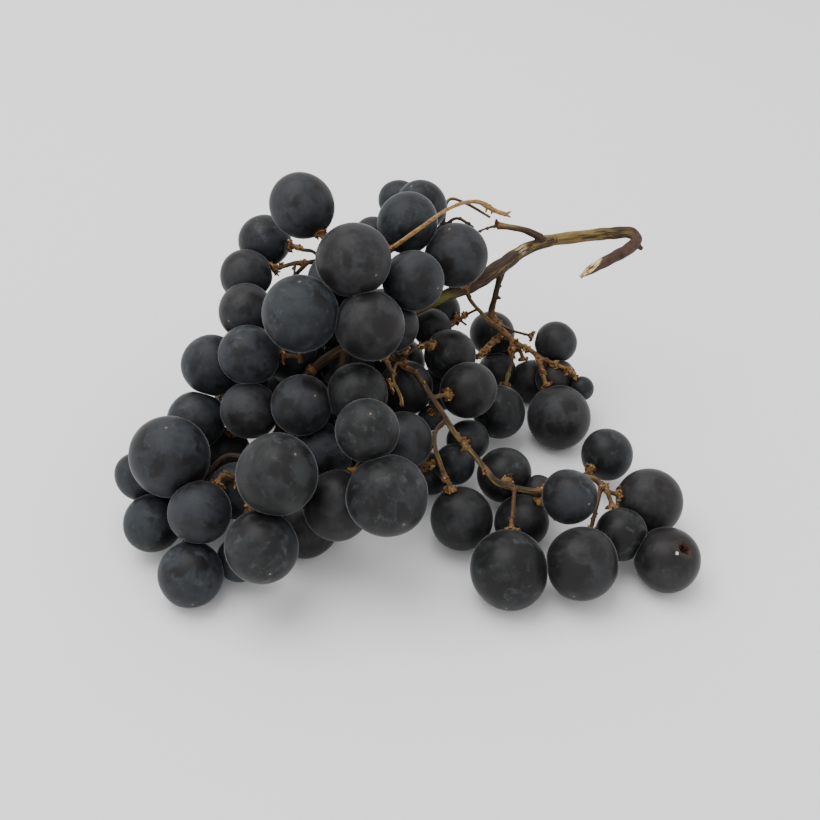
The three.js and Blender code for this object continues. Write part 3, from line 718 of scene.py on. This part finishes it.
# Short stubs of lost twigs: where each starts and ends, and its radius there
spurs = [((82.2, 65.6, 58.2), (84.4, 64.8, 56.8), 1.2, 0.7),
         ((31, 62, 68.5), (30.4, 61.2, 71.6), 1.1, 0.3),
         ((1.5, 8.5, 44), (2.4, 7.8, 45.8), 0.8, 0.5),
         ((16.5, -11.2, 31.8), (18.3, -11.6, 33), 0.8, 0.45),
         ((18.5, -12.8, 30.2), (16.6, -14.2, 29.2), 0.8, 0.45),
         ((44, 61.5, 60.8), (45.5, 60.4, 63.6), 1.2, 0.6),
         ((24, 46.5, 55), (22.4, 44.4, 57.4), 1.1, 0.6),
         ((30.5, 49, 47), (32.6, 48.2, 46.6), 0.9, 0.4)]


def branchRuns():
    runs, steps = {}, stemShape["branchSteps"]
    for name, (route, thick) in branches.items():
        runs[name] = smoothRun([at(place) for place in route], [t * mm for t in thick], steps)
    return runs


def pedicelRun(grape, draw):
    # From the branch to the berry in a slight bow, flared at the berry
    root, end = grape["stem"]
    length = (end - root).length
    inward = (end - root).normalized()
    bow = inward.orthogonal().normalized() * length * draw.uniform(-stemShape["bow"], stemShape["bow"])
    bow += inward.cross(bow)
    count = max(stemShape["leastSteps"], round(length / (stemShape["pedicelStep"] * mm)))
    smaller = min(1, grape["radius"] / (stemShape["fullBerry"] * mm))
    wide = stemShape["receptacle"] * mm * smaller * grape["room"]
    run, thick = [], []
    for i in range(count + 1):
        share = i / count
        run.append(root.lerp(end, share) + bow * (4 * share * (1 - share)))
        toEnd = (1 - share) * length
        flare = math.exp(-(toEnd / (stemShape["flareLength"] * mm)) ** 2)
        swell = stemShape["rootSwell"] * math.exp(-(share * length / (stemShape["rootLength"] * mm)) ** 2)
        size = stemShape["pedicel"] * mm * (1 + swell)
        thick.append(size + (wide - size) * flare)
    return run, thick


def roomForReceptacles():
    # A receptacle is made narrower where another berry stands close
    for i, grape in enumerate(grapes):
        if grape["stem"]:
            away = distances(centres, grape["stem"][1]) - radii
            nearest = np.delete(away, i).min() - stemShape["clearance"] * mm
            share = nearest / (stemShape["receptacle"] * mm)
            grape["room"] = min(1, max(stemShape["leastRoom"], share))


def cutPlane():
    tip, following = at(branches["peduncle"][0][0]), at(branches["peduncle"][0][1])
    along = (following - tip).normalized()
    facing = Vector(stemShape["cutFacing"])
    facing = (facing - along * facing.dot(along)).normalized()
    angle = math.radians(stemShape["cutAngle"])
    outward = facing * math.cos(angle) - along * math.sin(angle)
    return tip + along * stemShape["cutBack"] * mm, outward, along


def slanted(corners):
    # Corners past the cut slide back along the peduncle onto the slanted face
    start, outward, along = cutPlane()
    slid = []
    for corner in corners:
        past = (corner - start).dot(outward)
        if past > 0 and (corner - start).length < stemShape["cutReach"] * mm:
            corner = corner - along * (past / along.dot(outward))
        slid.append(corner)
    return slid


def anyWay(draw):
    return Vector((draw.gauss(0, 1), draw.gauss(0, 1), draw.gauss(0, 1))).normalized()


def ripple(shape, phase=0):
    # Low ridges that wind along a branch, and swells on the way
    high, count, wind = shape["ridges"]
    swell, often = shape["swells"]

    def change(i, turn):
        return high * math.sin(count * turn + phase + i * wind) + swell * math.sin(i * often + phase)

    return change


def stalkParts(draw):
    parts, lines = [], []
    for name, (run, thick) in branchRuns().items():
        isThick = thick[0] > stemShape["thickFrom"] * mm
        sides = stemShape["thickSides" if isThick else "thinSides"]
        corners, faces = limb(run, thick, sides, ripple(stemShape, draw.uniform(*stemShape["phases"])))
        parts.append((slanted(corners) if name == "peduncle" else corners, faces))
        lines.append((name, run, thick))
        for i in range(4, len(run) - 2, warts["spacing"]):
            if name not in ("peduncle", "rachis") and draw.random() < warts["chance"]:
                size = draw.uniform(*warts["sizes"]) * mm
                place = run[i] + anyWay(draw) * thick[i] * warts["standOut"]
                parts.append(blob(place, size, draw.uniform(*warts["stretch"]), draw))
    for start, end, wide, narrow in spurs:
        parts.append(limb([at(start), at(start).lerp(at(end), 0.6), at(end)],
                          [wide * mm, (wide + narrow) / 2 * mm, narrow * mm], stemShape["spurSides"]))
    for grape in grapes:
        if grape["stem"] is None:
            continue
        run, thick = pedicelRun(grape, draw)
        change = ripple(stemShape, draw.uniform(*stemShape["phases"]))
        parts.append(limb(run, thick, stemShape["pedicelSides"], change))
        lines.append(("pedicel", run, thick))
        for i in range(2, len(run) - 2):
            if draw.random() < warts["pedicelChance"]:
                place = run[i] + anyWay(draw) * thick[i]
                size = draw.uniform(*warts["pedicelSizes"]) * mm
                parts.append(blob(place, size, warts["pedicelStretch"], draw))
    return parts, lines


def keepLargest(made):
    # Bits of the remeshed wood that hang on nothing are dropped
    mesh = made.data
    count = len(mesh.vertices)
    pairs = np.empty(len(mesh.edges) * 2, dtype=np.int64)
    mesh.edges.foreach_get("vertices", pairs)
    pairs = pairs.reshape(-1, 2)
    label = np.arange(count)
    while True:
        low = np.minimum(label[pairs[:, 0]], label[pairs[:, 1]])
        new = label.copy()
        np.minimum.at(new, pairs[:, 0], low)
        np.minimum.at(new, pairs[:, 1], low)
        new = new[new]
        if np.array_equal(new, label):
            break
        label = new
    names, sizes = np.unique(label, return_counts=True)
    keep = label == names[sizes.argmax()]
    print("stalk bodies", len(names), "kept corners", int(keep.sum()), "of", count)
    corners = np.empty(count * 3)
    mesh.vertices.foreach_get("co", corners)
    corners = corners.reshape(-1, 3)[keep]
    order = np.cumsum(keep) - 1
    kept = [face.vertices for face in mesh.polygons if keep[face.vertices[0]]]
    faces = [tuple(int(order[v]) for v in face) for face in kept]
    return corners, faces


def makeStalk(material, draw):
    roomForReceptacles()
    parts, lines = stalkParts(draw)
    rough = makeObject("stalkRough", *joined(parts))
    makeOneSkin(rough, stemShape["voxel"])
    corners, faces = keepLargest(rough)
    bpy.data.objects.remove(rough)
    # The slanted cut at the end of the peduncle, with its open pith
    start, outward, along = cutPlane()
    fromCut = (corners - np.array(start)) @ np.array(outward)
    nearTip = distances(corners, start) < stemShape["cutReach"] * mm
    cut = nearTip & (fromCut > -stemShape["cutGrip"] * stemShape["voxel"] * mm)
    corners[cut] -= fromCut[cut, None] * np.array(outward)
    upFace = (along - outward * along.dot(outward)).normalized()
    toPith = corners - np.array(start + upFace * stemShape["pithUp"] * mm)
    toPith -= (toPith @ np.array(along))[:, None] * np.array(along)
    pith = cut & (np.linalg.norm(toPith, axis=1) / mm < stemShape["pithRadius"])
    corners[pith] += np.array(along) * stemShape["pithDepth"] * mm
    made = makeObject("stalk_wood", corners, faces)
    setStalkValues(made, corners, lines, cut, pith)
    made.data.materials.append(material)
    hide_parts("stalk")
    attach(made, "root")
    return made, lines


# How much olive shows through the dark bark, from 0 to 1, spread evenly along each branch
oliveBark = {"peduncle": (0.75, 0.85, 1, 1), "rachis": (0.95, 0.22, 0.1, 0.12, 0.2, 0.3, 0.3, 0.5, 1),
             "wing": (0.12, 0.2, 0.5, 0.5, 0.4), "frontDropTwig": (0.5,), "middleTwig": (0.5,),
             "shoulderTwig": (0.3,), "topTwig": (0.3,), "upperTwig": (0.4,), "lowerTwig": (0.3,),
             "rightRunner": (0.3,), "pedicel": (0.6,), "others": (0.12,)}
stub = (27, 45)  # along the peduncle from its cut: red brown up to the first, olive from the second
# How far rust reaches round a crust and from a berry along its stem, and how much there is
rusty = {"crustReach": 1.2, "nearBerry": 0.9, "nearBerryReach": 2.0, "pedicel": 0.2}
barkMarks = {
    "green": [((12, 40, 51), 6.5), ((36, 38, 19), 4.0)],
    "scraped": [((39.5, 57.6, 61.6), 3.0)],
}


def near(corners, mark):
    # 1 at the middle of a mark, falling to 0 about twice its reach away
    place, reach = mark
    return bell(distances(corners, at(place)) / mm / reach)


def setStalkValues(made, corners, lines, cut, pith):
    # Readings for the bark: where each corner lies on its own branch, and what grows there
    spots = []
    branchShift, farAway = 37.0, 99  # so that the grain differs from branch to branch; no berry near
    for order, (name, run, _) in enumerate(lines):
        across = (run[1] - run[0]).orthogonal()
        far = order * branchShift
        toEnd = sum((b - a).length for a, b in zip(run, run[1:])) / mm
        for i, point in enumerate(run):
            step = (point - run[i - 1]).length / mm if i else 0
            far, toEnd = far + step, toEnd - step
            ahead = (run[min(i + 1, len(run) - 1)] - run[max(i - 1, 0)]).normalized()
            across = (across - ahead * across.dot(ahead)).normalized()
            shares = oliveBark.get(name, oliveBark["others"])
            olive = np.interp(i / (len(run) - 1) * (len(shares) - 1), range(len(shares)), shares)
            isPedicel = name == "pedicel"
            toBerry = toEnd if isPedicel else farAway
            onStub = 1 - np.interp(far, stub, (0, 1)) if name == "peduncle" else 0.0
            spots.append((*point, far, *ahead, *across, olive, float(isPedicel), toBerry, onStub))
    tree = kdtree.KDTree(len(spots))
    for i, spot in enumerate(spots):
        tree.insert(spot[:3], i)
    tree.balance()
    nearest = np.array(spots)[[tree.find(corner)[1] for corner in corners]]
    point, far, ahead, across = nearest[:, :3], nearest[:, 3], nearest[:, 4:7], nearest[:, 7:10]
    offset = (corners - point) / mm
    grainAt = np.stack([far + (offset * ahead).sum(1), (offset * across).sum(1),
                        (offset * np.cross(ahead, across)).sum(1)], axis=1)
    crust = np.zeros(len(corners))
    for place, reach, _ in crusts:
        crust = np.maximum(crust, near(corners, (place, reach * rusty["crustReach"])))
    onPedicel, toBerry = nearest[:, 11], nearest[:, 12]
    byBerry = bell(toBerry / rusty["nearBerryReach"]) * rusty["nearBerry"] + rusty["pedicel"] * onPedicel
    setValues(made.data, "grainAt", grainAt)
    setValues(made.data, "olive", nearest[:, 10])
    setValues(made.data, "stubEnd", nearest[:, 13])
    setValues(made.data, "rust", np.maximum(crust, byBerry))
    for name, marks in barkMarks.items():
        setValues(made.data, name, np.max([near(corners, mark) for mark in marks], axis=0))
    setValues(made.data, "cut", cut.astype(float))
    setValues(made.data, "pith", pith.astype(float))


# Crusts of dry flower remains: a place, how far the crust reaches, how many bits
crusts = [((32.5, 51, 33.5), 3.4, 50), ((34.5, 48, 31.5), 3.0, 50), ((31, 47.3, 29), 2.6, 50),
          ((28.5, 44.5, 28), 2.6, 50), ((26.5, 41.5, 27.7), 2.4, 46), ((25, 39, 27.5), 2.8, 60),
          ((29.5, 49, 37.5), 2.6, 40), ((38, 46.8, 28.5), 2.6, 40), ((39, 45.5, 25.5), 2.8, 46),
          ((43, 45.5, 26.5), 2.8, 40), ((46.8, 41.5, 23.8), 2.4, 50), ((48.3, 36.5, 21.8), 2.4, 40),
          ((54, 39.8, 23.2), 2.8, 60), ((58, 37.8, 22.3), 2.6, 50), ((59.5, 37, 21.5), 2.0, 20),
          ((17, 46.7, 37.6), 2.8, 50), ((18.5, 46, 41), 2.6, 46), ((16.5, 45.5, 43.5), 2.2, 30),
          ((-5, 20, 43), 1.8, 16), ((3.5, 23, 44.5), 2.2, 24), ((-2, 10.5, 44.5), 1.6, 12),
          ((63.6, -23.3, 20.9), 2.4, 34), ((59.2, -16.9, 19.9), 2.2, 24), ((25, -20, 26), 1.3, 10),
          ((42.5, -23.1, 20), 1.8, 16), ((17.5, -12, 31), 1.4, 10), ((12, -22.5, 25), 1.6, 14),
          ((-50.5, -36.5, 26), 1.8, 16), ((-54, -28, 27), 1.5, 12), ((31.5, 62, 68.6), 1.3, 8),
          ((-37, 45.3, 63.8), 1.6, 12), ((-32, 33.3, 84.6), 3.0, 40), ((-39, 52.5, 65), 2.0, 16),
          ((-45, 45, 62), 1.8, 14)]
crumbShape = {
    "sizes": (0.2, 0.56),
    "stretch": (0.9, 3.4),
    "stepOut": 1.1,
    "dense": 1.7,
    "tries": 3,  # tries for each bit that is wanted
    "gap": 0.1,
    "splinters": 9,
    "splinterSizes": (0.18, 0.28),
    "splinterReach": 1.0,
    "splinterSpread": 0.3,
    "roundStem": 18,
    "rimSizes": (0.24, 0.46),
    "rimBack": (0.1, 0.9),
    "rimOut": (0.7, 1.0),
    "rimShake": 0.3,
}


def makeCrumbs(lines, material, draw):
    # Crusty bits, each one set into the wood or into the bit before it
    parts, tones = [], []

    def addBit(place, size, isWood=False):
        parts.append(blob(place, size, draw.uniform(*crumbShape["stretch"]), draw))
        tone = draw.random()
        tones.extend([1.0 if isWood else tone] * len(parts[-1][0]))

    spots = [point for _, run, _ in lines for point in run]
    for place, reach, count in crusts:
        grown = [min(spots, key=lambda point: (point - at(place)).length)]
        wanted = round(count * crumbShape["dense"])
        for _ in range(wanted * crumbShape["tries"]):
            size = draw.uniform(*crumbShape["sizes"]) * mm
            spot = draw.choice(grown) + anyWay(draw) * size * crumbShape["stepOut"]
            clear = np.all(distances(centres, spot) > radii + crumbShape["gap"] * mm)
            if len(grown) <= wanted and clear and (spot - at(place)).length < reach * mm:
                grown.append(spot)
                addBit(spot, size)
    # Pale splinters at the tip of the cut
    start, outward, along = cutPlane()
    tip = start - (along - outward * along.dot(outward)).normalized() * stemShape["tipReach"] * mm
    for _ in range(crumbShape["splinters"]):
        spot = tip + along * draw.uniform(0, crumbShape["splinterReach"]) * mm
        spot += anyWay(draw) * crumbShape["splinterSpread"] * mm
        addBit(spot, draw.uniform(*crumbShape["splinterSizes"]) * mm, isWood=True)
    # A ragged rim round each receptacle
    for name, run, thick in lines:
        if name == "pedicel":
            inward = (run[-1] - run[-2]).normalized()
            side = inward.orthogonal().normalized()
            for k in range(crumbShape["roundStem"]):
                shake = draw.uniform(-crumbShape["rimShake"], crumbShape["rimShake"])
                turn = 2 * math.pi * k / crumbShape["roundStem"] + shake
                aside = side * math.cos(turn) + inward.cross(side) * math.sin(turn)
                spot = run[-1] - inward * draw.uniform(*crumbShape["rimBack"]) * mm
                spot += aside * thick[-1] * draw.uniform(*crumbShape["rimOut"])
                addBit(spot, draw.uniform(*crumbShape["rimSizes"]) * mm)
    made = makeObject("stalk_crumbs", *joined(parts), smooth=False)
    setValues(made.data, "tone", tones)
    made.data.materials.append(material)
    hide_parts("stalk")
    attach(made, "root")
    return made


barkLook = {
    "dark": (0.018, 0.0115, 0.008),
    "brown": (0.055, 0.030, 0.016),
    "umber": (0.085, 0.048, 0.022),
    "olive": (0.210, 0.147, 0.038),
    "rust": (0.115, 0.050, 0.018),
    "gold": (0.300, 0.165, 0.055),
    # The green of young bark, made darker as painted shade where the berries hang over it
    "green": (0.115, 0.112, 0.026),
    "stub": (0.072, 0.038, 0.026),
    "stubDark": (0.024, 0.012, 0.008),
    "pale": (0.500, 0.390, 0.210),
    "cut": (0.640, 0.520, 0.250),
    "cutDark": (0.150, 0.090, 0.034),
    "pith": (0.070, 0.045, 0.022),
    "specular": 0.22,
    "relief": 0.10,
}
# Scale, detail, roughness, shift and stretch of each pattern. These three run along the branches
barkClouds = {
    "streaks": (1.0, 3.0, 0.55, (0, 0, 0), (0.035, 0.42, 0.42)),
    "fibres": (1.3, 3.0, 0.6, (5, 5, 5), (0.12, 2.4, 2.4)),
    "grooves": (1.3, 3.0, 0.65, (2, 8, 1), (0.14, 1.0, 1.0)),
}
blotchCloud, grainCloud = (0.28, 3.0, 0.55), (3.0, 3.0, 0.65)
# Where a pattern starts and where it is full
barkEdges = {
    "brown": (0.36, 0.66),
    "olive": (0.3, 0.62),
    "shows": (0.46, 0.68),
    "stub": (0.35, 0.6),
    "stubEnd": (0.3, 0.75),
    "crust": (0.42, 0.60),
    "green": (0.15, 0.9),
    "greenFibres": (0.35, 0.5),
    "scraped": (0.35, 0.85),
    "flayed": (0.49, 0.56),
    "grooves": (0.43, 0.56),
}
# How strongly each pattern lets the olive show
oliveMix = {"olive": 0.26, "blotches": 0.2, "fibres": 0.4, "most": 0.95}


def barkMaterial():
    material, base = startMaterial("grapeBark")
    grainAt = reading(base, "grainAt", 1)
    olive, rust, green = reading(base, "olive"), reading(base, "rust"), reading(base, "green")
    scraped, stubEnd = reading(base, "scraped"), reading(base, "stubEnd")
    cut, pith = reading(base, "cut"), reading(base, "pith")
    streaks, fibres, grooves = (cloud(base, look, grainAt) for look in barkClouds.values())
    blotches, grain = cloud(base, blotchCloud), cloud(base, grainCloud)
    colour = fibres.rise(*barkEdges["brown"]).mixed(barkLook["dark"], barkLook["brown"])
    shows = streaks + (olive - 0.5) * oliveMix["olive"] + (blotches - 0.5) * oliveMix["blotches"]
    shows = (shows + (fibres - 0.5) * oliveMix["fibres"]).rise(*barkEdges["shows"])
    paleBark = fibres.rise(*barkEdges["olive"]).mixed(barkLook["umber"], barkLook["olive"])
    colour = (shows * oliveMix["most"]).mixed(colour, paleBark)
    stubBark = (fibres * 0.5 + blotches * 0.5).rise(*barkEdges["stub"])
    stubBark = stubBark.mixed(barkLook["stubDark"], barkLook["stub"])
    colour = (stubEnd + (streaks - 0.5) * 1.2).rise(*barkEdges["stubEnd"]).mixed(colour, stubBark)
    crust = grain.rise(*barkEdges["crust"]).mixed(barkLook["rust"], barkLook["gold"])
    colour = (rust * (0.35 + grain)).limited().mixed(colour, crust)
    # Green young bark, its colour darkened as painted shade from the berries above it
    shadedGreenBark = green.rise(*barkEdges["green"]) * fibres.rise(*barkEdges["greenFibres"]) * 0.9
    colour = shadedGreenBark.mixed(colour, barkLook["green"])
    flayed = (fibres * 0.7 + streaks * 0.3).rise(*barkEdges["flayed"])
    colour = (scraped.rise(*barkEdges["scraped"]) * flayed).mixed(colour, barkLook["pale"])
    cutWood = grooves.rise(*barkEdges["grooves"]).mixed(barkLook["cutDark"], barkLook["cut"])
    colour = pith.mixed(cut.mixed(colour, cutWood), barkLook["pith"])
    roughness = 0.74 - streaks * 0.25
    height = fibres * 1.4 + grain * 0.35 + streaks * 0.5 + grooves * cut * 2.5
    fixed = {"Specular IOR Level": barkLook["specular"]}
    finishMaterial(base, colour, roughness, height, barkLook["relief"], fixed)
    return material


crumbLook = {
    "dark": (0.040, 0.016, 0.009),
    "brown": (0.240, 0.125, 0.042),
    "pale": (0.420, 0.300, 0.140),
    "grain": (3.5, 3.0, 0.65),
    "specular": 0.25,
    "relief": 0.12,
}


def crumbMaterial():
    material, base = startMaterial("flowerCrumbs")
    tone, grain = reading(base, "tone"), cloud(base, crumbLook["grain"])
    brown = (tone.rise(0.1, 0.75) + (grain - 0.5) * 1.2).limited()
    colour = brown.mixed(crumbLook["dark"], crumbLook["brown"])
    colour = tone.rise(0.82, 0.95).mixed(colour, crumbLook["pale"])
    fixed = {"Specular IOR Level": crumbLook["specular"]}
    finishMaterial(base, colour, 0.8 - grain * 0.1, grain, crumbLook["relief"], fixed)
    return material


# Dried tendril
tendrilShape = {
    "places": [(-4, 37, 51), (-7, 40, 62), (-8.5, 36, 71), (-8, 33, 75.5), (-3.5, 33, 79.5), (5, 37, 84),
               (10, 39, 87), (15, 44, 87), (19, 48, 86), (23, 50, 85), (26, 51, 83), (29, 51, 81),
               (33, 50, 80)],
    "thick": (0.78, 0.76, 0.74, 0.7, 0.72, 0.7, 0.66, 0.64, 0.64, 0.72, 1.0, 0.85, 0.8),
    "sides": 14,
    "steps": 8,
    "voxel": 0.16,
    "ridges": (0.09, 4, 0.10),
    "swells": (0.05, 0.9),
    "knobs": ((-20, 0.85), (-15, 1.15), (-9, 0.95), (-2, 0.95)),  # place counted from the end, size
    "knobStretch": 1.2,
    "prongs": ((-16, (-0.5, 0, -2.4)), (-11, (-0.3, 0.2, -1.9)),
               (-2, (2.0, 0.3, 0.9)), (-2, (1.9, -0.4, -1.0))),  # place, and how far it reaches
    "prongThick": (0.55, 0.42, 0.28),
    "prongSides": 8,
}


def makeTendril(material, draw):
    route = [at(place) for place in tendrilShape["places"]]
    run, thick = smoothRun(route, [t * mm for t in tendrilShape["thick"]], tendrilShape["steps"])
    parts = [limb(run, thick, tendrilShape["sides"], ripple(tendrilShape))]
    for i, size in tendrilShape["knobs"]:
        parts.append(blob(run[i], size * mm, tendrilShape["knobStretch"], draw))
    for i, reach in tendrilShape["prongs"]:
        end = run[i] + Vector(reach) * mm
        parts.append(limb([run[i], run[i].lerp(end, 0.6), end],
                          [t * mm for t in tendrilShape["prongThick"]], tendrilShape["prongSides"]))
    made = makeObject("dried_tendril_wood", *joined(parts))
    makeOneSkin(made, tendrilShape["voxel"])
    made.data.polygons.foreach_set("use_smooth", [True] * len(made.data.polygons))
    made.data.materials.append(material)
    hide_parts("dried_tendril")
    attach(made, "root")
    return made


tendrilLook = {
    "brown": (0.135, 0.066, 0.018),
    "tan": (0.33, 0.19, 0.055),
    "stain": (0.06, 0.030, 0.012),
    "streaks": (1.4, 4.0, 0.6, (9, 2, 4), (0.5, 1.4, 1.4)),
    "grain": (4.0, 2.0, 0.6),
    "specular": 0.4,
    "relief": 0.12,
}


def tendrilMaterial():
    material, base = startMaterial("driedTendril")
    streaks, grain = cloud(base, tendrilLook["streaks"]), cloud(base, tendrilLook["grain"])
    colour = streaks.rise(0.35, 0.65).mixed(tendrilLook["brown"], tendrilLook["tan"])
    colour = (grain.rise(0.55, 0.7) * 0.4).mixed(colour, tendrilLook["stain"])
    roughness, height = 0.62 - streaks * 0.15, streaks + grain * 0.5
    fixed = {"Specular IOR Level": tendrilLook["specular"]}
    finishMaterial(base, colour, roughness, height, tendrilLook["relief"], fixed)
    return material


# Studio
studio = {
    "lookAt": (0, 0, 35),
    "distance": 400,
    "elevation": 40,
    "focalPixels": 1200,
    "imagePixels": 820,
    "sensor": 36,
    "clip": (0.01, 20),
    "floor": 3.0,
    "floorColour": (0.84, 0.84, 0.84),
    "floorRoughness": 0.9,
    "world": 1.25,
    "key": 10.5,
    "keySize": 0.9,
    "keyPlace": (-0.32, 0.12, 1.1),
    "fill": 0.5,
    "fillSize": 1.2,
    "fillPlace": (-0.7, -0.9, 0.8),
}


def makeCamera():
    data = bpy.data.cameras.new("camera")
    data.sensor_width = studio["sensor"]
    data.lens = studio["focalPixels"] / studio["imagePixels"] * data.sensor_width
    data.clip_start, data.clip_end = studio["clip"]
    camera = bpy.data.objects.new("camera", data)
    bpy.context.scene.collection.objects.link(camera)
    angle = math.radians(studio["elevation"])
    back = Vector((0, -math.cos(angle), math.sin(angle)))
    camera.location = at(studio["lookAt"]) + back * studio["distance"] * mm
    camera.rotation_mode = "QUATERNION"
    camera.rotation_quaternion = (-back).to_track_quat("-Z", "Y")
    bpy.context.scene.camera = camera


def makeLight(name, place, power, size):
    data = bpy.data.lights.new(name, "AREA")
    data.energy, data.size = power, size
    light = bpy.data.objects.new(name, data)
    light.location = place
    light.rotation_mode = "QUATERNION"
    light.rotation_quaternion = (-Vector(place)).to_track_quat("-Z", "Y")
    bpy.context.scene.collection.objects.link(light)


def makeStudio():
    reach = studio["floor"] / 2
    corners = [(x * reach, y * reach, 0) for x, y in ((-1, -1), (1, -1), (1, 1), (-1, 1))]
    floor = makeObject("floor", corners, [(0, 1, 2, 3)])
    material, base = startMaterial("paleFloor")
    colour = (*studio["floorColour"], 1)
    inputs = {"Base Color": colour, "Roughness": studio["floorRoughness"]}
    shader = base.node("ShaderNodeBsdfPrincipled", None, inputs)
    base.node("ShaderNodeOutputMaterial", None, {"Surface": shader})
    floor.data.materials.append(material)
    world = bpy.data.worlds.new("studio")
    world.use_nodes = True
    background = world.node_tree.nodes["Background"]
    background.inputs["Color"].default_value = (1, 1, 1, 1)
    background.inputs["Strength"].default_value = studio["world"]
    bpy.context.scene.world = world
    makeLight("key", studio["keyPlace"], studio["key"], studio["keySize"])
    makeLight("fill", studio["fillPlace"], studio["fill"], studio["fillSize"])


makeCamera()
makeStudio()
print("camera, floor and lights are set")

grapeDraw = random.Random(grapeShape["seed"])
grapeSkin = skinMaterial()
for knotName in berryKnots:
    makeGrapes(knotName, grapeSkin, grapeDraw)
print("berries made:", len(grapes))

stalkDraw = random.Random(stemShape["seed"])
stalk, stalkLines = makeStalk(barkMaterial(), stalkDraw)
print("stalk made with", len(stalk.data.polygons), "faces")
crumbs = makeCrumbs(stalkLines, crumbMaterial(), stalkDraw)
print("crumbs made with", len(crumbs.data.polygons), "faces")
tendril = makeTendril(tendrilMaterial(), stalkDraw)
print("tendril made with", len(tendril.data.polygons), "faces")
